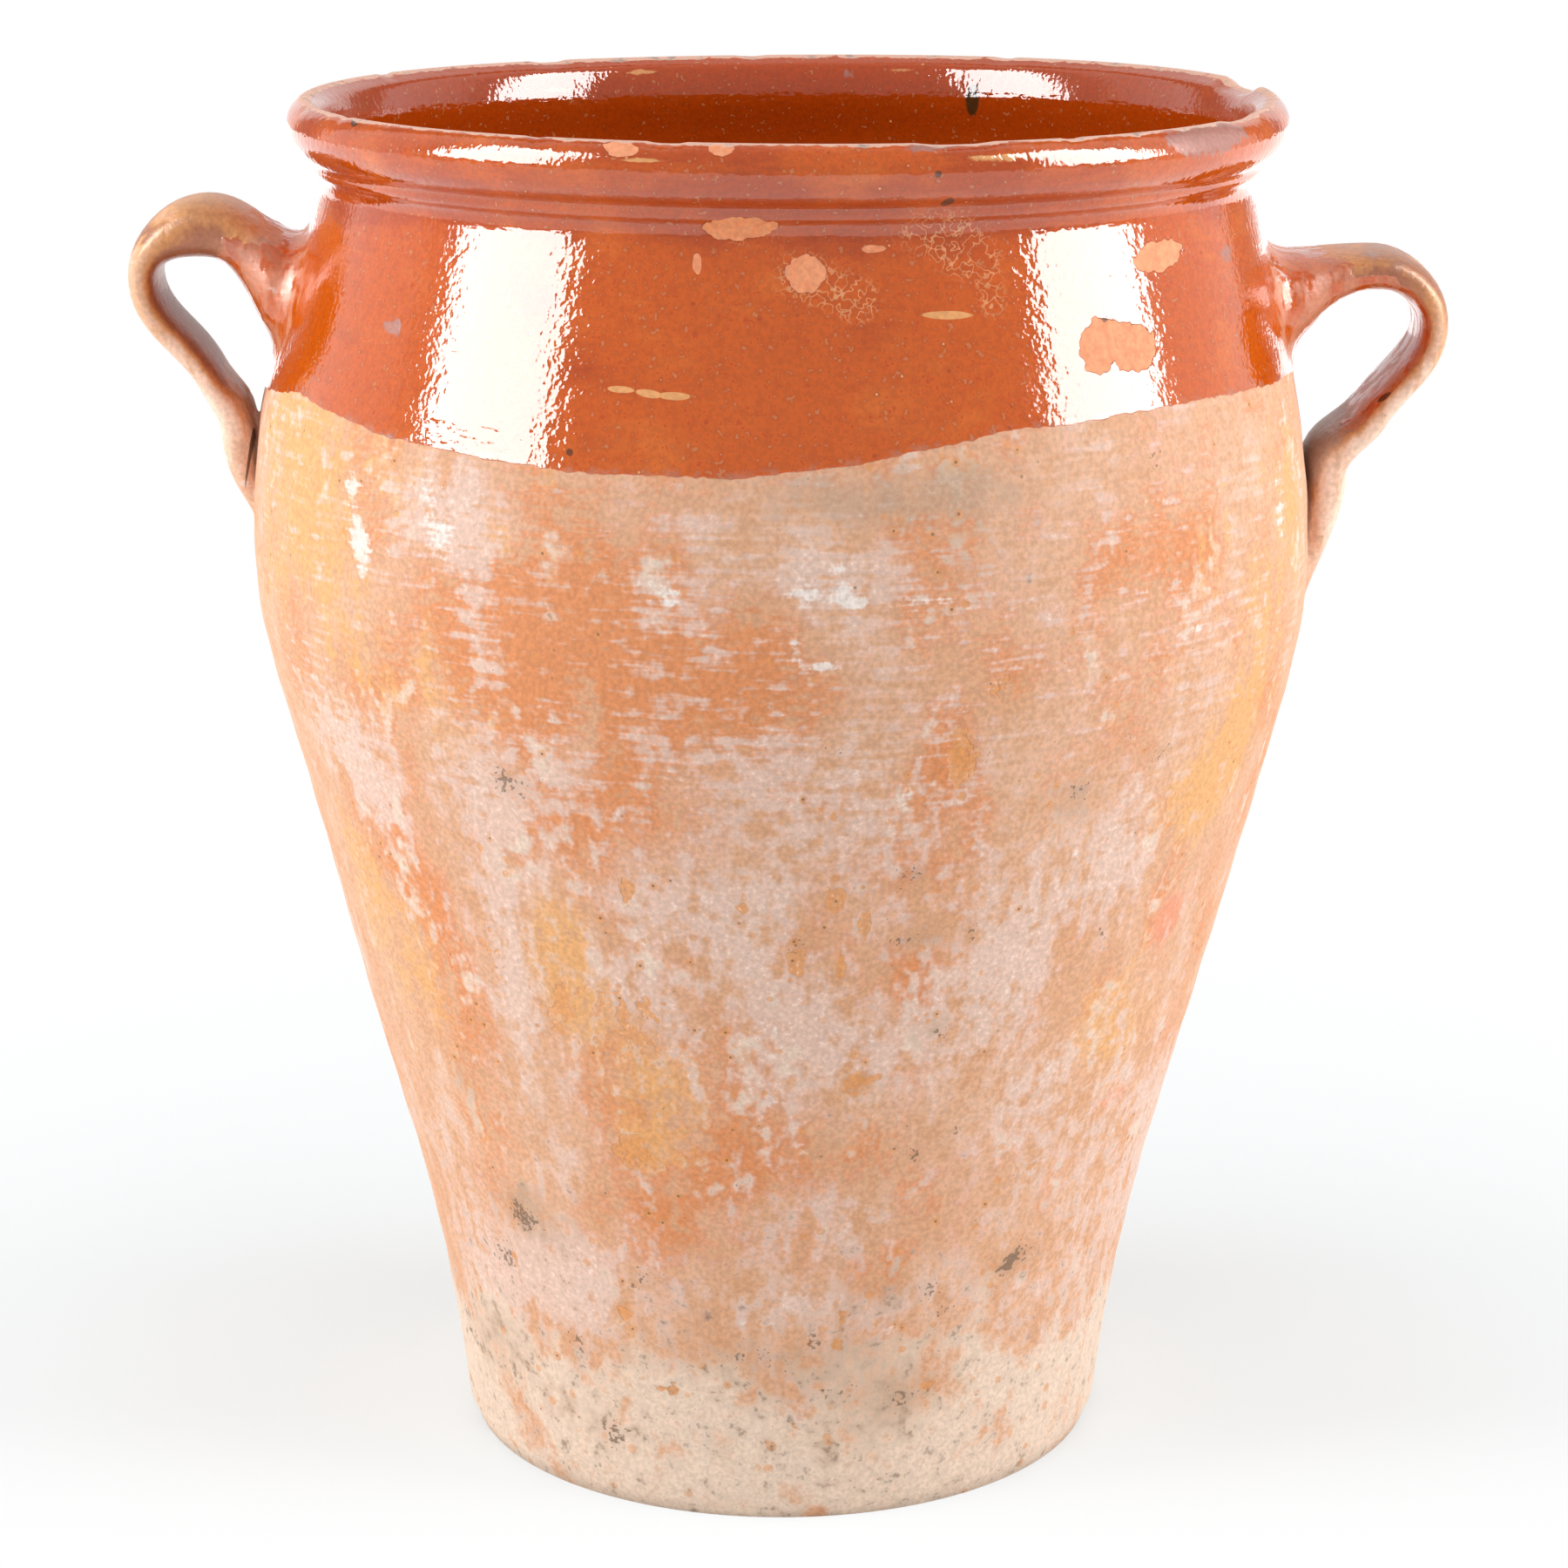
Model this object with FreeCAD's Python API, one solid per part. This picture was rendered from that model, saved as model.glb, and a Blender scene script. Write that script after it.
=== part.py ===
import FreeCAD, Part
import os

# Olive jar: a large thrown earthenware pot with two pulled strap handles, fired as one piece.
# Millimetres, +Z up. The origin is the middle of the foot, on the ground. The handles lie along X.

# Driving dimensions of the thrown pot
FOOT_RADIUS = 96.4          # outside of the foot, where the jar stands
FOOT_ROUND = 3.0            # softened edge of the foot
BELLY_RADIUS = 155.0        # widest turn of the wall
BELLY_HEIGHT = 272.0        # ground to the widest turn
NECK_RADIUS = 134.0         # outside of the neck, just under the rim
SHOULDER_HEIGHT = 103.0     # widest turn up to the neck
WALL = 9.5                  # thrown wall
THROAT_DROP = 12.0          # neck line down to where the inside starts to open to the mouth
FLOOR = 12.0                # clay under the hollow
FLOOR_ROUND = 18.0          # round inside, from floor to wall

# Driving dimensions of the rim
RIDGE_RISE = 4.8            # neck line up to the small ridge
RIDGE_HEIGHT = 3.0          # the ridge left by the rib under the bead
RIDGE_PROUD = 3.2           # how far the ridge stands out from the neck
BEAD_HEIGHT = 17.2          # rolled bead, from its undercut to the crest
BEAD_PROUD = 9.4            # how far the bead stands out from the neck
CREST_OUT = 4.0             # crest of the lip, outwards from the neck
LIP = 5.5                   # worn lip, from the crest to the inside edge
LIP_DROP = 3.0              # inside edge of the lip below the crest

# Old chip in the crest, behind the right handle
CHIP_DEPTH = 2.4
CHIP_LENGTH = 36.0
CHIP_ANGLE = 13.0           # degrees from +X towards +Y

# Driving dimensions that both handles share
HANDLE_REACH = 34.8         # outermost point of a handle beyond the belly
STRAP_WIDTH = 39.0          # strap across, at its narrowest
STRAP_THICKNESS = 9.0       # strap through, along the grip
LANDING_THICKNESS = 11.0    # strap through, where it meets the belly
ROOT_WIDTH = 64.0           # smeared clay across the upper root
ROOT_THICKNESS = 38.0       # smeared clay from over to under the upper root
TAIL_WIDTH = 46.0           # lower end, pressed flat on the belly
TAIL_THICKNESS = 6.0        # lower end, through the feathered clay
ROOT_SINK = 4.5             # how deep the ends are worked into the wall
STRAP_CORNER = 0.86         # 0.71 is an oval strap, 1 is a nearly square one

# The left handle rises high and rounds over
LEFT_ROOT_DROP = 31.0       # neck line down to the middle of the upper root
LEFT_CROWN_DROP = 11.8      # neck line down to the middle of the strap at its top
LEFT_CROWN_THICKNESS = 17.0
LEFT_BOW_DROP = 25.5        # neck line down to the outermost point
LEFT_WAIST_DROP = 54.5      # neck line down to where the strap turns under
LEFT_WAIST_OUT = 9.8        # how far it still stands off there
LEFT_LANDING_DROP = 71.0    # neck line down to where the strap meets the belly
LEFT_TAIL_DROP = 96.0       # neck line down to the end of the lower root
LEFT_ROOT_FADE = 2.0        # how soon the smeared root narrows to the strap

# The right handle sits lower and droops, with a longer tail
RIGHT_ROOT_DROP = 34.0
RIGHT_CROWN_DROP = 24.5
RIGHT_CROWN_THICKNESS = 11.5
RIGHT_BOW_DROP = 40.0
RIGHT_WAIST_DROP = 66.5
RIGHT_WAIST_OUT = 12.1
RIGHT_LANDING_DROP = 84.0
RIGHT_TAIL_DROP = 123.0
RIGHT_ROOT_FADE = 2.0

# Shares that shape the wall, the rim and the straps
FLARE_UP = 0.368            # the foot's flare ends this far up to the belly
FLARE_OUT = 0.302           # and has come this far out from the foot to the belly
WALL_LEAN = 1.23            # lean of the straight wall, against a straight line from foot to belly
SHOULDER_LEAN = 1.37        # lean of the shoulder, against a straight line from belly to neck
RIDGE_NOSE_UP = 0.45        # where the ridge stands out most
RIDGE_FOOT_OUT = 0.75       # the ridge's lower edge, as a share of its nose
RIDGE_TOP_OUT = 0.85        # the ridge's upper edge
BEAD_NOSE_UP = 0.56         # where the bead stands out most
CROWN_OUT = 0.65            # where a strap is highest, from its root to its outermost point
LANDING_OUT = 0.46          # middle of the strap off the belly as it lands, in its thickness there
STRAP_SECTIONS = 12         # cross-sections that a handle is drawn through
LOFT_DEGREE = 2             # a low degree keeps the clay from swelling between sections

# Heights that follow from the sizes above
neck_height = BELLY_HEIGHT + SHOULDER_HEIGHT
ridge_height = neck_height + RIDGE_RISE
bead_height = ridge_height + RIDGE_HEIGHT
crest_height = bead_height + BEAD_HEIGHT
crest_radius = NECK_RADIUS + CREST_OUT


def at(radius, height):
    """A point of the turned profile, in the plane of the axis."""
    return FreeCAD.Vector(radius, 0, height)


def bend(start, heading, finish):
    """The arc that leaves start along heading and ends at finish."""
    chord = finish - start
    side = FreeCAD.Vector(-heading.z, 0, heading.x)
    radius = chord.dot(chord) / (2 * chord.dot(side))
    centre = start + side * radius
    middle = (start - centre) + (finish - centre)
    return Part.Arc(start, centre + middle.normalize() * abs(radius), finish)


def line(start, finish):
    """A straight edge."""
    return Part.LineSegment(start, finish)


OUTWARDS = FreeCAD.Vector(1, 0, 0)
UPWARDS = FreeCAD.Vector(0, 0, 1)
DOWNWARDS = FreeCAD.Vector(0, 0, -1)

# The wall is a flared foot, a straight lean, the round belly and a straight shoulder
swell = BELLY_RADIUS - FOOT_RADIUS
draw_in = BELLY_RADIUS - NECK_RADIUS
wall_rake = FreeCAD.Vector(swell * WALL_LEAN, 0, BELLY_HEIGHT).normalize()
shoulder_rake = FreeCAD.Vector(-draw_in * SHOULDER_LEAN, 0, SHOULDER_HEIGHT).normalize()
foot = at(FOOT_RADIUS - FOOT_ROUND, 0)
foot_top = at(FOOT_RADIUS, FOOT_ROUND)
flare_end = at(FOOT_RADIUS + FLARE_OUT * swell, FLARE_UP * BELLY_HEIGHT)
belly = at(BELLY_RADIUS, BELLY_HEIGHT)
neck = at(NECK_RADIUS, neck_height)


def turn_point(start, rake):
    """Where the straight through start, along rake, begins to round over into the belly."""
    corner = start + rake * ((BELLY_RADIUS - start.x) / rake.x)
    return corner + (start - corner).normalize() * (corner - belly).Length


def inset(point, rake):
    """The point one wall thickness inside another, on a stretch that rises along rake."""
    return point + FreeCAD.Vector(-rake.z, 0, rake.x) * WALL


lower_turn = turn_point(flare_end, wall_rake)
upper_turn = turn_point(neck, shoulder_rake)

# The rim: a concave sweep, the ribbed ridge, the rolled bead and the worn lip
ridge_foot = at(NECK_RADIUS + RIDGE_PROUD * RIDGE_FOOT_OUT, ridge_height)
ridge_nose = at(NECK_RADIUS + RIDGE_PROUD, ridge_height + RIDGE_HEIGHT * RIDGE_NOSE_UP)
bead_foot = at(NECK_RADIUS + RIDGE_PROUD * RIDGE_TOP_OUT, bead_height)
bead_nose = at(NECK_RADIUS + BEAD_PROUD, bead_height + BEAD_HEIGHT * BEAD_NOSE_UP)
crest = at(crest_radius, crest_height)
lip_edge = at(crest_radius - LIP, crest_height - LIP_DROP)

outer_line = [
    bend(foot, OUTWARDS, foot_top),
    bend(flare_end, wall_rake * -1, foot_top),
    line(flare_end, lower_turn),
    bend(belly, DOWNWARDS, lower_turn),
    bend(belly, UPWARDS, upper_turn),
    line(upper_turn, neck),
    bend(neck, shoulder_rake, ridge_foot),
    Part.Arc(ridge_foot, ridge_nose, bead_foot),
    bend(bead_nose, DOWNWARDS, bead_foot),
    bend(bead_nose, UPWARDS, crest),
]


def turned(curves):
    """A solid of revolution about the axis of the wheel."""
    edges = Part.sortEdges([curve.toShape() for curve in curves])[0]
    return Part.Face(Part.Wire(edges)).revolve(at(0, 0), UPWARDS, 360)


# The pot without its hollow
axis_foot = at(0, 0)
axis_top = at(0, crest_height)
outside = turned(outer_line + [line(axis_foot, foot), line(crest, axis_top), line(axis_top, axis_foot)])


def wall_radius(height):
    """Outside radius of the turned pot at a height, read from a slice across it."""
    return outside.slice(UPWARDS, height)[0].BoundBox.XMax


# The hollow keeps the thrown thickness all the way up, and then opens to the mouth
floor_height = FLOOR + FLOOR_ROUND
inner_foot = at(wall_radius(floor_height) - WALL, floor_height)
floor_edge = at(inner_foot.x - FLOOR_ROUND, FLOOR)
inner_flare_end = inset(flare_end, wall_rake)
inner_belly = at(BELLY_RADIUS - WALL, BELLY_HEIGHT)
throat = inset(neck - shoulder_rake * THROAT_DROP, shoulder_rake)
inner_lower_turn = inset(lower_turn, wall_rake)
inner_upper_turn = inset(upper_turn, shoulder_rake)
hollow_foot = at(0, FLOOR)
hollow_top = at(0, crest_height + WALL)
mouth = at(crest_radius, hollow_top.z)
hollow = turned([
    line(hollow_foot, floor_edge),
    bend(floor_edge, OUTWARDS, inner_foot),
    bend(inner_flare_end, wall_rake * -1, inner_foot),
    line(inner_flare_end, inner_lower_turn),
    bend(inner_belly, DOWNWARDS, inner_lower_turn),
    bend(inner_belly, UPWARDS, inner_upper_turn),
    line(inner_upper_turn, throat),
    bend(throat, shoulder_rake, lip_edge),
    line(lip_edge, crest),
    line(crest, mouth),
    line(mouth, hollow_top),
    line(hollow_top, hollow_foot),
])


def strap_section(centre, along, width, thickness):
    """One cross-section of the strap: a flattened round, square to the way the strap runs."""
    through = FreeCAD.Vector(along.z, 0, -along.x)
    across = FreeCAD.Vector(0, 1, 0)
    half_width = width / 2 * 3 / (2 + STRAP_CORNER)
    half_thickness = thickness / 2 * 3 / (2 + STRAP_CORNER)
    poles = []
    for wide, deep in ((1, 0), (1, 1), (0, 1), (-1, 1), (-1, 0), (-1, -1), (0, -1), (1, -1)):
        corner = STRAP_CORNER if wide and deep else 1
        poles.append(centre + across * (wide * corner * half_width)
                     + through * (deep * corner * half_thickness))
    outline = Part.BSplineCurve()
    outline.buildFromPolesMultsKnots(poles, [1] * 9, list(range(9)), True, 3)
    return Part.Wire([outline.toShape()])


def eased(start, finish, share):
    """A value on its way from start to finish, leaving and arriving gently."""
    share = min(max(share, 0.0), 1.0)
    return start + (finish - start) * share * share * (3 - 2 * share)


def handle(root_drop, crown_drop, crown_thickness, bow_drop, waist_drop, waist_out,
           landing_drop, tail_drop, root_fade):
    """A pulled strap on the +X side, worked into the shoulder above and the belly below."""
    root_z = neck_height - root_drop
    crown_z = neck_height - crown_drop
    bow_z = neck_height - bow_drop
    waist_z = neck_height - waist_drop
    landing_z = neck_height - landing_drop
    tail_z = neck_height - tail_drop
    bow_x = BELLY_RADIUS + HANDLE_REACH - STRAP_THICKNESS / 2
    root_x = wall_radius(root_z)
    span = bow_x - root_x
    slope = FreeCAD.Vector(1, 0, root_x - wall_radius(root_z + 1)).normalize()
    landing_x = wall_radius(landing_z) + LANDING_THICKNESS * LANDING_OUT
    waist_x = landing_x + waist_out
    # The middle line of the strap: each place, with the direction there where it is known
    root = (at(root_x, root_z) - slope * ROOT_SINK, slope)
    crown = (at(root_x + span * CROWN_OUT, crown_z), OUTWARDS)
    bow = (at(bow_x, bow_z), DOWNWARDS)
    waist = (at(waist_x, waist_z), None)
    landing = (at(landing_x, landing_z), DOWNWARDS)
    tail = (at(wall_radius(tail_z) - ROOT_SINK, tail_z), None)
    stations = [root, crown, bow, waist, landing, tail]
    path = Part.BSplineCurve()
    path.interpolate(Points=[place for place, _ in stations],
                     Tangents=[direction or DOWNWARDS for _, direction in stations],
                     TangentFlags=[direction is not None for _, direction in stations])
    end = path.LastParameter
    crown_u = path.parameter(crown[0])
    bow_u = path.parameter(bow[0])
    waist_u = path.parameter(waist[0])
    landing_u = path.parameter(landing[0])
    sections = []
    for step in range(STRAP_SECTIONS + 1):
        u = end * step / STRAP_SECTIONS
        smear = max(0.0, 1 - u / crown_u)
        along = path.tangent(u)[0].normalize()
        if smear > 0:
            along = (slope * smear + OUTWARDS * (1 - smear)).normalize()
        smear = smear ** root_fade
        press = (u - landing_u) / (end - landing_u)
        width = eased(STRAP_WIDTH, TAIL_WIDTH, press) + smear * (ROOT_WIDTH - STRAP_WIDTH)
        grip = eased(crown_thickness, STRAP_THICKNESS, (u - crown_u) / (bow_u - crown_u))
        grip = eased(grip, LANDING_THICKNESS, (u - waist_u) / (landing_u - waist_u))
        thickness = eased(grip, TAIL_THICKNESS, press) + smear * (ROOT_THICKNESS - crown_thickness)
        sections.append(strap_section(path.value(u), along, width, thickness))
    return Part.makeLoft(sections, True, False, False, LOFT_DEGREE)


right = handle(RIGHT_ROOT_DROP, RIGHT_CROWN_DROP, RIGHT_CROWN_THICKNESS, RIGHT_BOW_DROP,
               RIGHT_WAIST_DROP, RIGHT_WAIST_OUT, RIGHT_LANDING_DROP, RIGHT_TAIL_DROP,
               RIGHT_ROOT_FADE)
left = handle(LEFT_ROOT_DROP, LEFT_CROWN_DROP, LEFT_CROWN_THICKNESS, LEFT_BOW_DROP,
              LEFT_WAIST_DROP, LEFT_WAIST_OUT, LEFT_LANDING_DROP, LEFT_TAIL_DROP,
              LEFT_ROOT_FADE)
left.rotate(FreeCAD.Vector(0, 0, 0), FreeCAD.Vector(0, 0, 1), 180)

# The chip is a shallow scoop across the crest
scoop_radius = (CHIP_LENGTH ** 2 / 4 + CHIP_DEPTH ** 2) / (2 * CHIP_DEPTH)
scoop_start = at(crest_radius - 2 * LIP, crest_height - CHIP_DEPTH + scoop_radius)
chip = Part.makeCylinder(scoop_radius, 2 * LIP + BEAD_PROUD + 2, scoop_start, FreeCAD.Vector(1, 0, 0))
chip.rotate(FreeCAD.Vector(0, 0, 0), FreeCAD.Vector(0, 0, 1), CHIP_ANGLE)

jar = outside.fuse([right, left]).cut([hollow, chip])
jar = jar.removeSplitter()

os.makedirs("parts", exist_ok=True)
if len(jar.Solids) == 1:
    jar = jar.Solids[0]
jar.exportStep("parts/jar.step")
box = jar.optimalBoundingBox()
print("jar:", len(jar.Solids), "solid,", len(jar.Faces), "faces, valid", jar.isValid())
print("size %.1f x %.1f x %.1f mm, volume %.0f cm3"
      % (box.XLength, box.YLength, box.ZLength, jar.Volume / 1000))
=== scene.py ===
# %% [markdown]
# An old olive jar, made to look fired, glazed, used and weathered.
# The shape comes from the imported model, which is the fixed frame of this scene. Everything below
# is in metres, and the jar stands at the origin with its handles along X.

# %% The frame
import math

import bmesh
import bpy
import numpy as np
from mathutils import Matrix, Vector, geometry, noise
from mathutils.bvhtree import BVHTree
from mathutils.kdtree import KDTree


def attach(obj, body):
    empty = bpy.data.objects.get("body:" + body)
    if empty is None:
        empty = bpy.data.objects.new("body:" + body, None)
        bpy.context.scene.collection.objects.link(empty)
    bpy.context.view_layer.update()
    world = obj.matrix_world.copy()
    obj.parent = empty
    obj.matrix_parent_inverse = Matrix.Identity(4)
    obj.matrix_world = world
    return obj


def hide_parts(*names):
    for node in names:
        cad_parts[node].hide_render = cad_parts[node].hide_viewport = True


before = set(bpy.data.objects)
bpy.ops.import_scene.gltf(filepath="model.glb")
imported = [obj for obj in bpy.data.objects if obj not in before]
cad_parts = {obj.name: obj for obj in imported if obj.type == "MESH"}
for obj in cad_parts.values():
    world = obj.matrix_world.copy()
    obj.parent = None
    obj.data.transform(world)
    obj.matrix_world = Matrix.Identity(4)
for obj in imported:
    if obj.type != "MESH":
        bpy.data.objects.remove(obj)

MM = 0.001
for starter in ("Cube", "Light", "Camera"):
    if starter in bpy.data.objects:
        bpy.data.objects.remove(bpy.data.objects[starter])
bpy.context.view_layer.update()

# %% [markdown]
# The camera stands in front of the jar, a little above its rim, and looks slightly down. Its place
# and lens were worked out from the ellipses of the rim and the foot in the photograph, so a pixel
# of the photograph and a point of the jar can be matched both ways further down.

# %% The camera
CAMERA_PLACE = Vector((0.0, -1.1753, 0.5081))
CAMERA_PITCH = math.radians(14.93)
CAMERA_LENS = 93.24
SENSOR = 36.0
PHOTO_SIDE = 1800

camera_data = bpy.data.cameras.new("camera")
camera_data.lens = CAMERA_LENS
camera_data.sensor_width = SENSOR
camera = bpy.data.objects.new("camera", camera_data)
camera.location = CAMERA_PLACE
camera.rotation_euler = (math.pi / 2 - CAMERA_PITCH, 0, 0)
bpy.context.scene.collection.objects.link(camera)
bpy.context.scene.camera = camera
bpy.context.scene.view_settings.view_transform = "Standard"


def sight_line(across, down):
    """Direction from the camera through a pixel of the photograph."""
    half = PHOTO_SIDE / 2
    reach = CAMERA_LENS / SENSOR * PHOTO_SIDE
    ray = Vector(((across - half) / reach, (half - down) / reach, -1.0))
    ray.rotate(camera.rotation_euler)
    return ray.normalized()


print("camera looks along", [round(value, 3) for value in sight_line(900, 900)])

# %% [markdown]
# The wall is the line that the potter's rib drew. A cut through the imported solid, in the plane that
# faces the camera, gives that line. It is made even, so that the turned mesh gets close rows at the
# rim, where the bead and the ridge are small, and wider rows inside, where the wall is plain.

# %% The line of the wall
SAMPLE = 0.25 * MM          # step of the even line
HAIR = 0.001 * MM           # tolerance of the cuts
ONE_POINT = 0.01 * MM       # nearer points than this are one
ON_AXIS = 0.1 * MM          # a point this near the axis is the start of the line


def cut_line(node):
    """The section of a node on the viewer's side, as (radius, height) from the foot's middle on."""
    bm = bmesh.new()
    bm.from_mesh(node.data)
    bmesh.ops.remove_doubles(bm, verts=bm.verts, dist=HAIR)
    for direction, clear_inner in (((1, 0, 0), True), ((0, 1, 0), False)):
        parts = bm.verts[:] + bm.edges[:] + bm.faces[:]
        bmesh.ops.bisect_plane(bm, geom=parts, dist=HAIR, plane_co=(0, 0, 0),
                               plane_no=direction, clear_outer=True, clear_inner=clear_inner)
    bmesh.ops.remove_doubles(bm, verts=bm.verts, dist=ONE_POINT)
    here = min(bm.verts, key=lambda v: (abs(v.co.y) > ON_AXIS, v.co.z))
    chain, seen = [], set()
    while here is not None:
        seen.add(here)
        chain.append((-here.co.y, here.co.z))
        ahead = [e.other_vert(here) for e in here.link_edges if e.other_vert(here) not in seen]
        here = ahead[0] if ahead else None
    bm.free()
    return np.array(chain)


def smoothed(values, width):
    """Values along the line, averaged over a width in samples, with the ends kept."""
    reach = max(1, int(width * 3))
    kernel = np.exp(-0.5 * (np.arange(-reach, reach + 1) / width) ** 2)
    padded = np.pad(values, reach, mode="reflect", reflect_type="odd")
    return np.convolve(padded, kernel / kernel.sum(), mode="valid")


def walk_along(path):
    """Distance walked from the first point of a path to each of its points."""
    return np.concatenate([[0], np.cumsum(np.linalg.norm(np.diff(path, axis=0), axis=1))])


section = cut_line(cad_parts["jar"])
walked = walk_along(section)
even = np.arange(0, walked[-1], SAMPLE)
radius_line = np.interp(even, walked, section[:, 0])
height_line = np.interp(even, walked, section[:, 1])
print("section:", len(section), "points, evened to", len(even), "samples")

# %% [markdown]
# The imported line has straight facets. Over the plain wall they are averaged away, with a wide
# average. The rim, the foot and the inner floor have small rounds, so a narrow average is used there.

# %% The facets go
SOFT_WIDTH, FINE_WIDTH = 14, 2      # widths of the averages, in samples
RIM_START = 0.371           # height over which the rows are close
RIM_BLEND = 8 * MM          # height over which the wide average turns into the narrow one
FOOT_SAMPLES = 400          # the first 100 mm of the line, under the foot and round its edge
GROUND = 0.5 * MM           # what is lower still belongs to the foot
FLOOR_ROUND = 12.3 * MM     # what is lower, inside, belongs to the floor

order = np.arange(len(even))
outside = order < int(np.argmax(height_line))
rim_share = np.clip((height_line - RIM_START + RIM_BLEND) / RIM_BLEND, 0, 1)
rim_share[(order < FOOT_SAMPLES) | (height_line < GROUND)] = 1
rim_share[~outside & (height_line < FLOOR_ROUND)] = 1
lines = []
for line in (radius_line, height_line):
    soft, fine = smoothed(line, SOFT_WIDTH), smoothed(line, FINE_WIDTH)
    lines.append(soft + (fine - soft) * rim_share)
radius_line, height_line = lines
print("narrow average on", round(float(np.mean(rim_share)) * 100), "% of the line")

# %% [markdown]
# The rows of the mesh are close at the rim and wide on the floor, and change over gently.

# %% Rows for the turned mesh
ROW_RIM = 1.25 * MM
ROW_WALL = 3.4 * MM
ROW_INSIDE = 8.0 * MM
ROW_FLOOR = 12.0 * MM
ROW_CHANGE = 30             # width of the change from one spacing to another, in samples
FLOOR_ROWS = 13 * MM        # height up to which the inside has the rows of the floor

spacing = np.where(outside, ROW_WALL, ROW_INSIDE)
spacing = np.where(height_line > RIM_START, ROW_RIM, spacing)
level = (height_line < GROUND) | (~outside & (height_line < FLOOR_ROWS))
spacing = smoothed(np.where(level, ROW_FLOOR, spacing), ROW_CHANGE)
rows = np.concatenate([[0], np.cumsum(SAMPLE / spacing)])[: len(even)]
stations = np.interp(np.linspace(0, rows[-1], int(rows[-1]) + 1), rows, even)
profile = np.column_stack([np.interp(stations, even, line) for line in (radius_line, height_line)])
profile[0, 0] = profile[-1, 0] = 0
print("profile:", len(profile), "rows")

# %% [markdown]
# A thrown pot is a solid of revolution, so the line is spun about the axis of the wheel, as the clay
# was. The spin is merged where it closes, and the rows that end on the axis are merged to one point.

# %% The thrown pot
TURNS = 400


def thrown(line):
    """A closed mesh turned from a line of (radius, height)."""
    bm = bmesh.new()
    corners = [bm.verts.new((0, -radius, height)) for radius, height in line]
    for start, finish in zip(corners, corners[1:]):
        bm.edges.new((start, finish))
    bmesh.ops.spin(bm, geom=bm.verts[:] + bm.edges[:], cent=(0, 0, 0), axis=(0, 0, 1),
                   dvec=(0, 0, 0), angle=2 * math.pi, steps=TURNS, use_merge=True,
                   use_duplicate=False)
    bmesh.ops.remove_doubles(bm, verts=bm.verts, dist=ONE_POINT)
    bmesh.ops.recalc_face_normals(bm, faces=bm.faces)
    return bm


def as_object(bm, name):
    """An object at the origin that holds the mesh."""
    mesh = bpy.data.meshes.new(name)
    bm.to_mesh(mesh)
    bm.free()
    made = bpy.data.objects.new(name, mesh)
    bpy.context.scene.collection.objects.link(made)
    return made


pot = as_object(thrown(profile), "olive_jar")
print("thrown pot:", len(pot.data.vertices), "points,", len(pot.data.polygons), "faces")

# %% [markdown]
# Each handle was pulled: a strap of clay, stroked long and thin with a wet hand, bent over and pressed
# on. A strap keeps its width and gets thinner, and its ends are smeared over the wall. So it is drawn
# as rings along a path, flat ovals that widen to a trumpet at the upper root and flatten at the tail,
# and neighbouring rings are bridged.

# %% The path of a strap
SINK = 4.5 * MM             # how deep the ends go into the wall
STRAP_WIDTH = 39 * MM
STRAP_THICKNESS = 9 * MM
LANDING_THICKNESS = 11 * MM # where the strap meets the belly
LANDING_OUT = 5.1 * MM      # middle of the strap off the wall there
RUN_POINTS = 59             # points from one station of the path to the next
PULL = 0.38                 # how far a direction carries into the run, as a share of it

crest_row = int(np.argmax(profile[:, 1]))
outer_rows = profile[2:crest_row]


def wall_radius(height):
    """Outside radius of the turned wall at a height."""
    return float(np.interp(height, outer_rows[:, 1], outer_rows[:, 0]))


def strap_path(strap):
    """Places and directions along the middle of a strap, from the upper root to the tail."""
    root_z, crown_z, bow_z, waist_z, landing_z, tail_z = strap["heights"]
    slope = Vector((1, 0, (wall_radius(root_z) - wall_radius(root_z + MM)) / MM)).normalized()
    root = Vector((wall_radius(root_z), 0, root_z)) - slope * SINK
    bow_x = strap["reach"] - STRAP_THICKNESS / 2
    landing_x = wall_radius(landing_z) + LANDING_OUT
    crown = Vector((root.x + (bow_x - root.x) * strap["crown_out"], 0, crown_z))
    bow = Vector((bow_x, 0, bow_z))
    waist = Vector((landing_x + strap["waist_out"], 0, waist_z))
    landing = Vector((landing_x, 0, landing_z))
    tail = Vector((wall_radius(tail_z) - SINK, 0, tail_z))
    down = Vector((0, 0, -1))
    stations = [(root, slope), (crown, Vector((1, 0, 0))), (bow, down),
                (waist, (landing - bow).normalized()), (landing, down),
                (tail, Vector((-0.25, 0, -1)).normalized())]
    points = []
    for (here, leave), (there, arrive) in zip(stations, stations[1:]):
        pull = (there - here).length * PULL
        run = geometry.interpolate_bezier(here, here + leave * pull, there - arrive * pull, there,
                                          RUN_POINTS + 1)
        points += run[:-1]
    return points + [tail]


# %% [markdown]
# The two straps were pulled by one hand but are not alike. The left one rises high and rounds over,
# and is thick at its crown. The right one sits lower and droops into a long tail. Heights are those of
# the root, crown, bow, waist, landing and tail. Each strap is drawn along +X and then turned round.

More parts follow.
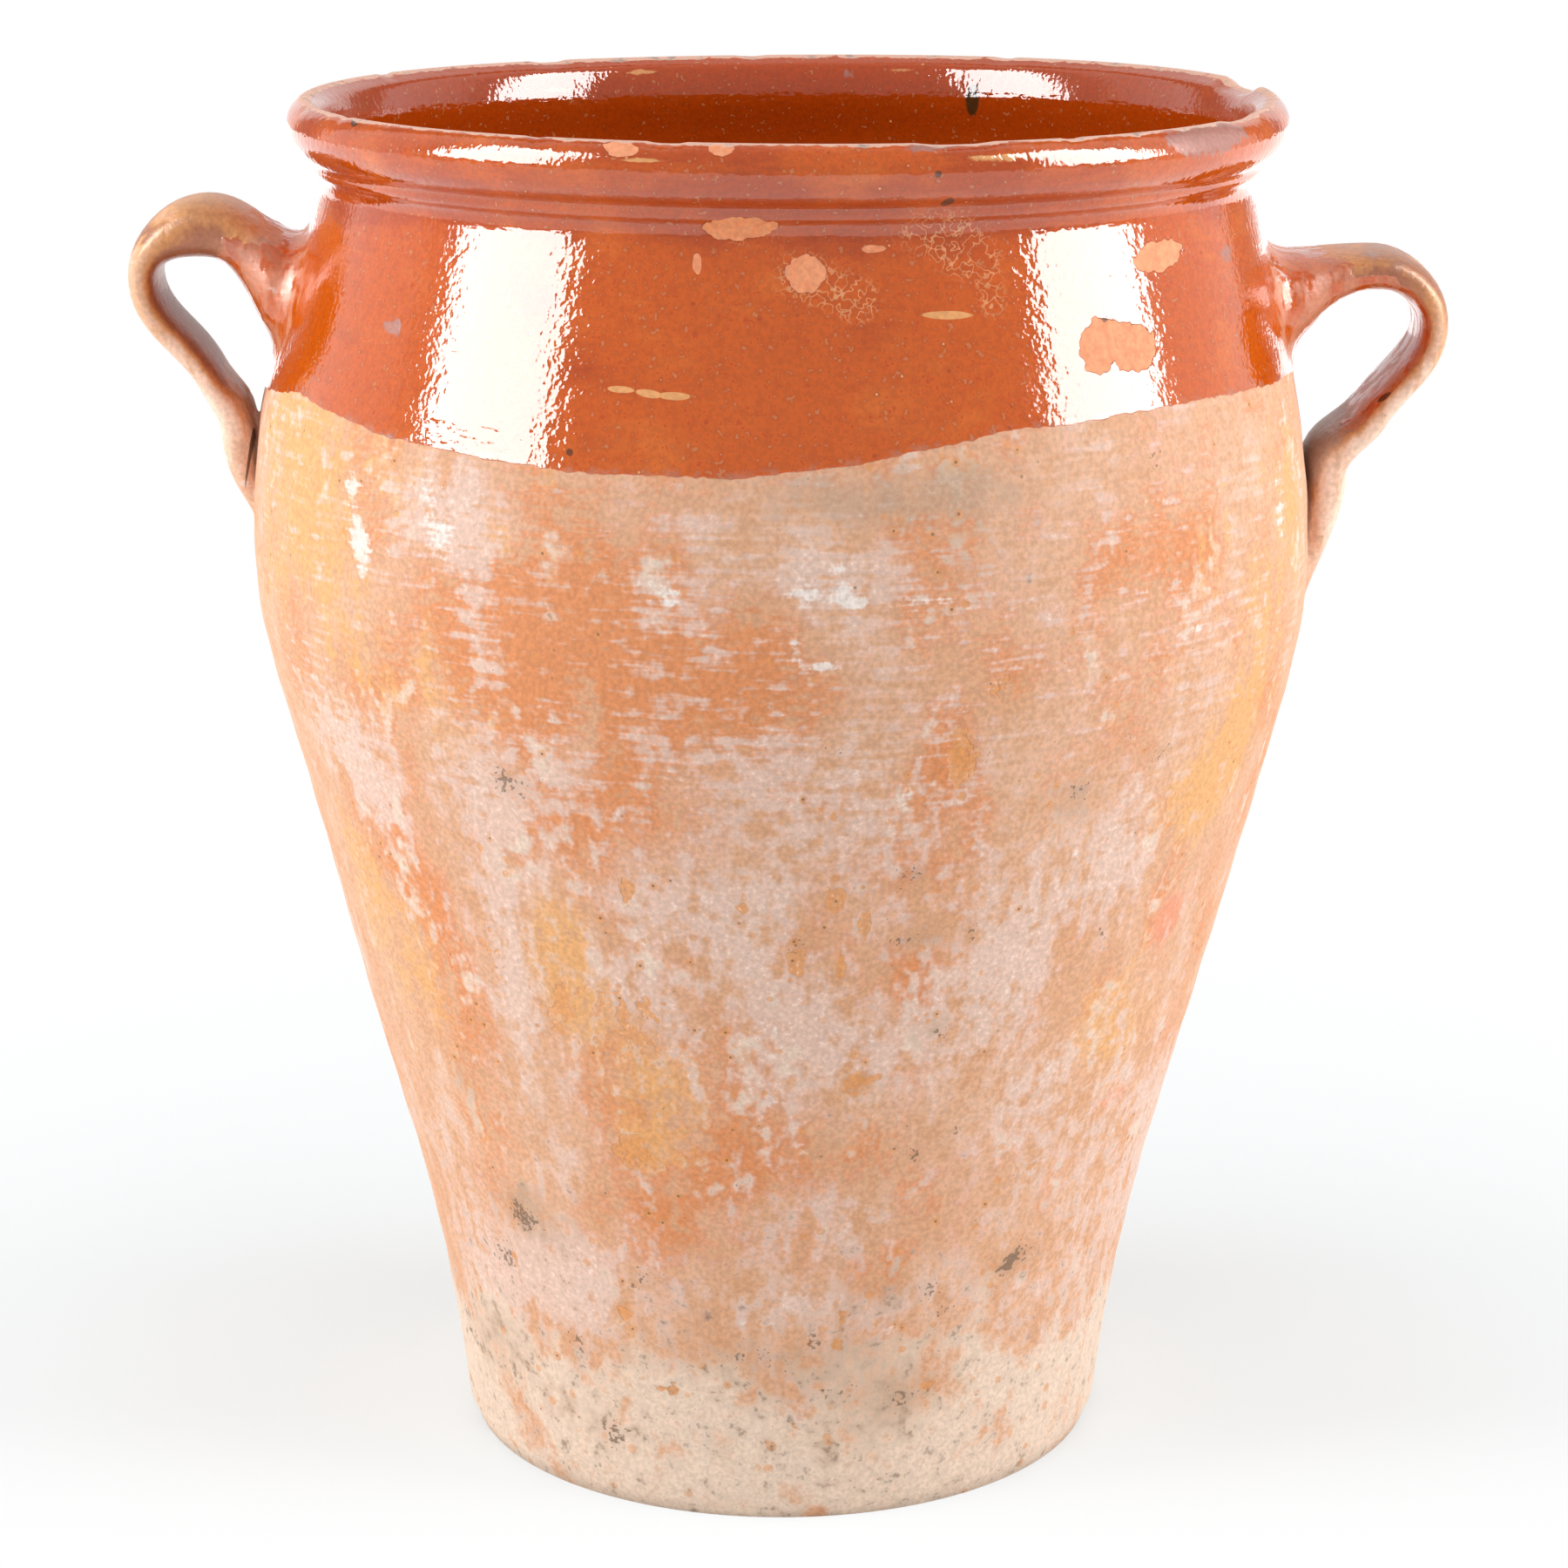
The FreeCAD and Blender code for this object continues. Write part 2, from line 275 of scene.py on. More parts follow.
# %% The two handles
LEFT = {
    "name": "left_handle", "side": -1, "turn": math.pi + math.radians(3), "reach": 189.0 * MM,
    "heights": [z * MM for z in (344, 363.2, 349.5, 320.5, 304, 279)],
    "crown_out": 0.62, "crown_thickness": 17 * MM, "waist_out": 8.6 * MM,
}
RIGHT = {
    "name": "right_handle", "side": 1, "turn": math.radians(-1), "reach": 190.4 * MM,
    "heights": [z * MM for z in (341, 350.5, 335, 308.5, 291, 251)],
    "crown_out": 0.65, "crown_thickness": 11.5 * MM, "waist_out": 11 * MM,
}
for strap in (LEFT, RIGHT):
    print(strap["name"], "path:", len(strap_path(strap)), "points")

# %% [markdown]
# A strap is thick at the crown, thin where the fingers go round it, and thicker where it lands. The
# trumpet at the root is the same oval made wider, by an amount that fades out before the crown.

# %% The strap itself
RING_COUNT = 64
RING_POINTS = 32
ROOT_WIDTH = 64 * MM
ROOT_THICKNESS = 38 * MM
TRUMPET = 2.0               # over 1 makes the trumpet at the root narrow sooner
TAIL_WIDTH = 46 * MM
TAIL_THICKNESS = 6 * MM
OVAL = 0.72                 # under 1 squares the oval a little
LOOK = 0.4 * MM             # how far ahead and back the direction of the path is measured


def eased(start, finish, share):
    """A value between two others that leaves and arrives gently."""
    share = min(max(share, 0.0), 1.0)
    return start + (finish - start) * share * share * (3 - 2 * share)


def oval_ring(bm, place, heading, width, thick):
    """A flat oval across the path, with its width along Y."""
    through = Vector((heading.z, 0, -heading.x))
    ring = bmesh.ops.create_circle(bm, segments=RING_POINTS, radius=1.0)["verts"]
    for corner in ring:
        across, deep = corner.co.x, corner.co.y
        across = math.copysign(abs(across) ** OVAL, across) * width / 2
        deep = math.copysign(abs(deep) ** OVAL, deep) * thick / 2
        corner.co = place + Vector((0, 1, 0)) * across + through * deep
    return ring


def edges_of(ring):
    """The edges of a ring that isn't bridged to anything yet, or on one side only."""
    return [edge for edge in {edge for vert in ring for edge in vert.link_edges}
            if edge.verts[0] in ring and edge.verts[1] in ring]


def pulled(strap):
    """A closed mesh of one strap."""
    points = strap_path(strap)
    path = np.array([tuple(point) for point in points])
    walk = walk_along(path)
    shares = walk / walk[-1]
    crown_u, bow_u, waist_u, landing_u = [shares[RUN_POINTS * run] for run in (1, 2, 3, 4)]

    def place_after(distance):
        return np.array([np.interp(distance, walk, path[:, axis]) for axis in range(3)])

    bm = bmesh.new()
    rings = []
    slope = (points[1] - points[0]).normalized()
    for number in range(RING_COUNT):
        u = number / (RING_COUNT - 1)
        reached = u * walk[-1]
        ahead, back = min(reached + LOOK, walk[-1]), max(reached - LOOK, 0)
        heading = Vector(place_after(ahead) - place_after(back)).normalized()
        smear = max(0.0, 1 - u / crown_u)
        if smear > 0:
            heading = (slope * smear + Vector((1, 0, 0)) * (1 - smear)).normalized()
        smear = smear ** TRUMPET
        press = (u - landing_u) / (1 - landing_u)
        width = eased(STRAP_WIDTH, TAIL_WIDTH, press) + smear * (ROOT_WIDTH - STRAP_WIDTH)
        grip = eased(strap["crown_thickness"], STRAP_THICKNESS, (u - crown_u) / (bow_u - crown_u))
        grip = eased(grip, LANDING_THICKNESS, (u - waist_u) / (landing_u - waist_u))
        thick = eased(grip, TAIL_THICKNESS, press)
        thick += smear * (ROOT_THICKNESS - strap["crown_thickness"])
        rings.append(oval_ring(bm, Vector(place_after(reached)), heading, width, thick))
    for near, far in zip(rings, rings[1:]):
        bmesh.ops.bridge_loops(bm, edges=edges_of(near) + edges_of(far))
    for end in (rings[0], rings[-1]):
        bmesh.ops.contextual_create(bm, geom=end)
    bmesh.ops.transform(bm, matrix=Matrix.Rotation(strap["turn"], 4, "Z"), verts=bm.verts)
    bmesh.ops.recalc_face_normals(bm, faces=bm.faces)
    return bm


handles = [as_object(pulled(strap), strap["name"]) for strap in (LEFT, RIGHT)]
print("handles:", [len(handle.data.polygons) for handle in handles], "faces")

# %% [markdown]
# After firing, pot and handles are one piece, so the three meshes are joined by a boolean union, which
# also takes away what lies inside the wall. The faces of the straps keep a number of their own.

# %% One piece of clay
def joined(base, parts):
    """The union of a mesh with others. Faces of the others keep material index 1."""
    for mesh in (base.data, *[part.data for part in parts]):
        mesh.materials.append(None)
        mesh.materials.append(None)
    for part in parts:
        part.data.polygons.foreach_set("material_index", [1] * len(part.data.polygons))
        union = base.modifiers.new(part.name, "BOOLEAN")
        union.operation = "UNION"
        union.solver = "EXACT"
        union.material_mode = "INDEX"
        union.object = part
    depsgraph = bpy.context.evaluated_depsgraph_get()
    merged = bpy.data.meshes.new_from_object(base.evaluated_get(depsgraph))
    base.modifiers.clear()
    base.data = merged
    for part in parts:
        bpy.data.objects.remove(part)


joined(pot, handles)
print("joined:", len(pot.data.vertices), "points")

# %% [markdown]
# A union leaves a sharp line where the straps meet the wall. The potter's thumb smeared it, so the
# points near that line are smoothed, most at the upper roots.

# %% The smeared joins
WELD_REACH = 9 * MM
WELD_PASSES = 14
TAIL_REACH = 3 * MM
TAIL_PASSES = 2
ROOT_LEVEL = 0.305          # joins over this height are upper roots
SEAM_GAP = 0.05 * MM        # points of the union nearer than this are one

bm = bmesh.new()
bm.from_mesh(pot.data)
bmesh.ops.remove_doubles(bm, verts=bm.verts, dist=SEAM_GAP)
weld = [v for v in bm.verts if len({face.material_index for face in v.link_faces}) > 1]
tree = KDTree(len(weld))
for number, vert in enumerate(weld):
    tree.insert(vert.co, number)
tree.balance()
near_root = []
near_tail = []
for vert in bm.verts:
    distance = tree.find(vert.co)[2]
    if vert.co.z > ROOT_LEVEL and distance < WELD_REACH:
        near_root.append(vert)
    elif vert.co.z <= ROOT_LEVEL and distance < TAIL_REACH:
        near_tail.append(vert)
for smeared in [near_root] * WELD_PASSES + [near_tail] * TAIL_PASSES:
    bmesh.ops.smooth_vert(bm, verts=smeared, factor=0.5, use_axis_x=True, use_axis_y=True,
                          use_axis_z=True)
open_edges = [e for e in bm.edges if len(e.link_faces) != 2]
print("weld:", len(weld), "points, smoothed", len(near_root), "and", len(near_tail),
      "- open edges", len(open_edges))
bm.to_mesh(pot.data)
bm.free()

# %% [markdown]
# To give the pot the marks of a hand, its points are read once, with the side, the height and the
# strap that each belongs to. A point on a strap also learns how far along the strap it lies.

# %% Where every point is
INSIDE_BY = 4 * MM          # a point this far within the outer wall is on the inside


def read_points(mesh):
    """The points of a mesh as rows of x, y, z."""
    points = np.empty(len(mesh.vertices) * 3)
    mesh.vertices.foreach_get("co", points)
    return points.reshape(-1, 3)


def bell(distance, width):
    """One in the middle, falling off smoothly over a width."""
    return np.exp(-(distance / width) ** 2)


def soft_step(values, low, high):
    """Nought under low, one over high, smooth between."""
    share = np.clip((values - low) / (high - low), 0, 1)
    return share * share * (3 - 2 * share)


def rough_field(points, size, seed):
    """Soft noise between about -1 and 1, with lumps of a size."""
    shift = Vector((seed * 7.1, seed * 3.3, seed * 5.7))
    return np.array([noise.noise(Vector(point) / size + shift) for point in points])


def strap_places(strap, points):
    """Where points lie on a strap: share along it, towards its inner face, towards its front edge."""
    local = points @ np.array(Matrix.Rotation(strap["turn"], 3, "Z"))
    path = np.array([tuple(place) for place in strap_path(strap)])
    walk = walk_along(path)
    heading = np.gradient(path, axis=0)
    heading /= np.linalg.norm(heading, axis=1)[:, None] + 1e-9
    finder = KDTree(len(path))
    for number, place in enumerate(path):
        finder.insert((place[0], 0, place[2]), number)
    finder.balance()
    nearest = np.array([finder.find((x, 0, z))[1] for x, _, z in local])
    offset = local - path[nearest]
    inwards = offset[:, 0] * heading[nearest, 2] - offset[:, 2] * heading[nearest, 0]
    return walk[nearest] / walk[-1], inwards, -local[:, 1] * strap["side"]


points = read_points(pot.data)
strap_faces = np.empty(len(pot.data.polygons), dtype=int)
pot.data.polygons.foreach_get("material_index", strap_faces)
on_strap = np.zeros(len(points), dtype=bool)
for polygon in pot.data.polygons:
    if strap_faces[polygon.index]:
        on_strap[list(polygon.vertices)] = True
strap_marks = {}
for strap in (LEFT, RIGHT):
    mine = on_strap & (points[:, 0] * strap["side"] > 0)
    strap_marks[strap["name"]] = (mine, *strap_places(strap, points[mine]))

radius = np.hypot(points[:, 0], points[:, 1])
angle = np.degrees(np.arctan2(points[:, 1], points[:, 0]))
height = points[:, 2].copy()
wall = np.interp(height, outer_rows[:, 1], outer_rows[:, 0])
inside = (radius < wall - INSIDE_BY) & ~on_strap
print("points:", len(points), "on straps", int(on_strap.sum()), "inside", int(inside.sum()))

# %% [markdown]
# Nothing thrown by hand is round. This pot leans a little, it is flatter behind the right handle,
# where the strap was pressed on, and fuller on the left. The fingers left rings on its wall. Behind
# the rolled rim, inside, they left a deeper hollow. Moving the points of the finished mesh does this
# to pot and handles together, so that the joins stay closed.

# %% The hand of the potter
LEAN_START, LEAN_GAIN = -0.8 * MM, 2.1 * MM     # the axis at the foot, and how far it leans by the rim
JAR_TALL = 0.4
SWELLINGS = [  # degrees round from the right handle, half width, height, half height, how far out
    (0, 35, 0.300, 0.060, -3.0 * MM), (180, 40, 0.313, 0.030, 1.4 * MM),
    (180, 40, 0.135, 0.045, 0.98 * MM),
]
WOBBLE, WOBBLE_SIZE = 0.55 * MM, 0.11
THROWING_RINGS = [  # spacing, how far they rise and fall round the pot, shift, depth
    (0.019, 0.6, 1.0, 0.09 * MM), (0.031, 1.3, 0.0, 0.063 * MM),
]
UNDERCUT = 5.0 * MM         # hollow inside, behind the rolled rim
UNDERCUT_LEVEL, UNDERCUT_HEIGHT = 0.3735, 0.014
BODY_REACH = 0.158          # radius that the wall stays within


def round_from(degrees_round):
    """Degrees from a direction to every point, between minus and plus half a turn."""
    return (angle - degrees_round + 180) % 360 - 180


swell = WOBBLE * rough_field(points, WOBBLE_SIZE, 1) * soft_step(height, 0.0, 0.03)
for degrees_round, half_turn, level, half_tall, far in SWELLINGS:
    swell += far * bell(round_from(degrees_round), half_turn) * bell(height - level, half_tall)
ringed = ~inside * soft_step(height, 0.02, 0.05) * (1 - soft_step(height, 0.362, 0.372))
for spacing, drift, shift, depth in THROWING_RINGS:
    turns = height / spacing * 2 * math.pi + drift * np.sin(np.radians(angle) + shift)
    swell += depth * np.sin(turns) * ringed
swell += UNDERCUT * bell(height - UNDERCUT_LEVEL, UNDERCUT_HEIGHT) * inside
on_body = soft_step(radius, 0.02, 0.05) * (1 - soft_step(radius, BODY_REACH, BODY_REACH + 15 * MM))
points[:, :2] += points[:, :2] * (swell * on_body / (radius + 1e-9))[:, None]
points[:, 0] += LEAN_START + LEAN_GAIN * height / JAR_TALL
print("swell:", round(swell.min() / MM, 2), "to", round(swell.max() / MM, 2), "mm")

# %% [markdown]
# The rim rises and falls as well, in two long waves, because the wheel and the hand never quite agree.

# %% The wave of the rim
RIM_WAVE = 0.5 * MM

waves = np.sin(np.radians(2 * angle) + 0.5) + 0.6 * np.sin(np.radians(3 * angle)) - 0.4
points[:, 2] += RIM_WAVE * waves * soft_step(height, 0.375, 0.392)
print("rim:", round(RIM_WAVE * waves.min() / MM, 2), "to", round(RIM_WAVE * waves.max() / MM, 2), "mm")

# %% [markdown]
# The rim has had the most knocks. A chip is a shallow scoop out of the crest: long and flat where a
# flake of the lip came away, short and round where the edge was only nicked.

# %% Chips in the crest
CREST_RADIUS = 138 * MM
CHIPS = [  # degrees round from the right handle, half length, depth, how far down from the crest, mm
    (13.0, 15.0, 2.4, 5.0), (-27.0, 12.0, 0.9, 3.5), (-103.0, 5.0, 0.5, 2.5), (-72.0, 10.0, 0.6, 3.0),
    (-150.0, 3.0, 0.5, 3.0), (-163.0, 4.0, 0.6, 3.0), (123.0, 6.0, 0.7, 3.0), (152.0, 4.0, 0.5, 3.0),
    (60.0, 3.5, 0.5, 3.0), (-58.0, 2.5, 0.4, 2.5), (95.0, 4.0, 0.4, 2.5), (-118.0, 2.5, 0.4, 2.5),
]

for degrees_round, half_length, depth, reach in CHIPS:
    along_rim = np.radians(round_from(degrees_round)) * CREST_RADIUS / (half_length * MM)
    level = (JAR_TALL - height) / (reach * MM)
    scoop = np.clip(1 - np.abs(along_rim) ** 4, 0, 1) * np.clip(1 - level, 0, 1)
    points[:, 2] -= depth * MM * scoop
pot.data.vertices.foreach_set("co", points.ravel())
pot.data.update()
print("moved: now", [round(value / MM, 1) for value in np.ptp(points, axis=0)], "mm")

# %% [markdown]
# The jar was dipped, or the glaze poured on, so the glaze ends in a wavy line round the shoulder.
# How far each point lies over that line is kept on the mesh in millimetres, because a distance stays
# smooth between points, and the material can then draw a crisp edge through it.

# %% Where the glaze ends
GLAZE_LINE = [  # pixels of the photograph along the edge of the glaze, left to right
    (305, 430), (345, 452), (400, 483), (450, 503), (505, 517), (560, 526), (640, 541), (730, 546),
    (830, 549), (915, 541), (1000, 530), (1080, 512), (1140, 497), (1200, 489), (1280, 478),
    (1350, 465), (1420, 450), (1480, 430),
]
BACK_WAVES = ((140, 318.5), (115, 321.0), (90, 317.0), (65, 319.5), (40, 316.5))  # degrees, mm
WELL_GLAZED = 30.0          # the same distance for the whole inside
JUST_MISSED = 0.05          # how far before the axis a line of sight that misses the jar is held

surface = BVHTree.FromObject(pot, bpy.context.evaluated_depsgraph_get())


def seen_at(across, down):
    """Place and normal of the surface behind a pixel of the photograph."""
    ray = sight_line(across, down)
    place, normal = surface.ray_cast(CAMERA_PLACE, ray)[:2]
    if place is None:
        beside = CAMERA_PLACE + ray * (CAMERA_PLACE.length - JUST_MISSED)
        place, normal = surface.find_nearest(beside)[:2]
    return place, normal


edge = [seen_at(across, down)[0] for across, down in GLAZE_LINE]
edge = [(math.degrees(math.atan2(place.y, place.x)), place.z) for place in edge]
edge += [(turn, level * MM) for turn, level in BACK_WAVES]
edge.sort()
edge_turn = np.array([turn for turn, _ in edge])
edge_level = np.array([level for _, level in edge])
line_level = np.interp(angle, edge_turn, edge_level, period=360)
glaze = (height - line_level) / MM
glaze[inside] = WELL_GLAZED
print("glaze line:", round(edge_level.min() / MM, 1), "to", round(edge_level.max() / MM, 1), "mm up")

# %% [markdown]
# The handles were held, rubbed and rained on. Glaze ran over their inner faces and pooled brown there,
# and their outer faces stayed nearly bare. So each strap gets a film, thickest on its inner face.

# %% Glaze on the handles
TAIL_FADE = (0.78, 0.97)    # shares of a strap over which it turns into the wall
RUNS = {  # shares along a strap at which the glaze ends, then strength, middle and width of patches
    "left_handle": {
        "ends": ((0.185, 28), (0.185, 28)), "pool": (1.0, 0.05, 0.60, 0.84),
        "leg": (0.55, 0.68, 0.12), "drips": (0.72, 0.36, 0.15), "gaps": -0.2,
        "arm": (0.80, 0.24, 0.12), "grey_inner": (1.0, 0.5, 0.16), "grey_outer": (0.45, 0.13, 0.07),
    },
    "right_handle": {
        "ends": ((0.16, 28), (0.60, 32)), "pool": (0.75, 0.0, 0.62, 0.80),
        "leg": (0.45, 0.66, 0.12), "drips": (0.85, 0.30, 0.17), "gaps": -0.3,
        "arm": (0.85, 0.22, 0.14), "grey_inner": (0.7, 0.68, 0.07), "grey_outer": (0.35, 0.22, 0.08),
    },
}


def patch(along, strength, middle, width):
    """A patch of glaze or dirt on a strap, by how far along it lies."""
    return strength * bell(along - middle, width)


strap_share, film, greyed = np.zeros((3, len(points)))
for strap in (LEFT, RIGHT):
    look = RUNS[strap["name"]]
    mine, along, inwards, front = strap_marks[strap["name"]]
    half = STRAP_THICKNESS / 2
    strap_share[mine] = 1 - soft_step(along, *TAIL_FADE)
    inner_face = soft_step(inwards, -0.2 * half, 0.9 * half)
    outer_face = soft_step(-inwards, 0.0, 0.9 * half)
    wander = rough_field(points[mine], 0.02, 3 + strap["side"])
    outer_end, inner_end = [(share - along) * fall + wander * 2 for share, fall in look["ends"]]
    dipped = np.where(inner_face > 0.55, inner_end, outer_end)
    glaze[mine] = np.where(along > 0.06, dipped, np.maximum(glaze[mine], dipped))
    strength, drift, full, gone = look["pool"]
    pooled = inner_face * strength * (1 - soft_step(along + drift * wander, full, gone))
    leg = inner_face * patch(along, *look["leg"])
    drips = outer_face * patch(along, *look["drips"]) * (wander > look["gaps"])
    arm = patch(along, *look["arm"]) * (1 - 0.4 * outer_face)
    film[mine] = np.clip(np.maximum.reduce([pooled, leg, drips, arm]), 0, 1)
    grey = inner_face * patch(along, *look["grey_inner"])
    if strap is LEFT:
        grey *= soft_step(-front, -0.2 * STRAP_WIDTH, 0.3 * STRAP_WIDTH)
    greyed[mine] = np.clip(grey + outer_face * patch(along, *look["grey_outer"]), 0, 1)
print("film on", int((film > 0.5).sum()), "points, grey on", int((greyed > 0.5).sum()))

# %% [markdown]
# A century of damp, lime and handling coloured the bare clay in broad clouds. Each cloud is a soft
# patch, placed where the photograph shows it: pixel across, pixel down, half width, half height and
# strength. They only push the material's own mottling one way or the other, so the back, which has
# none, still looks like the same clay.

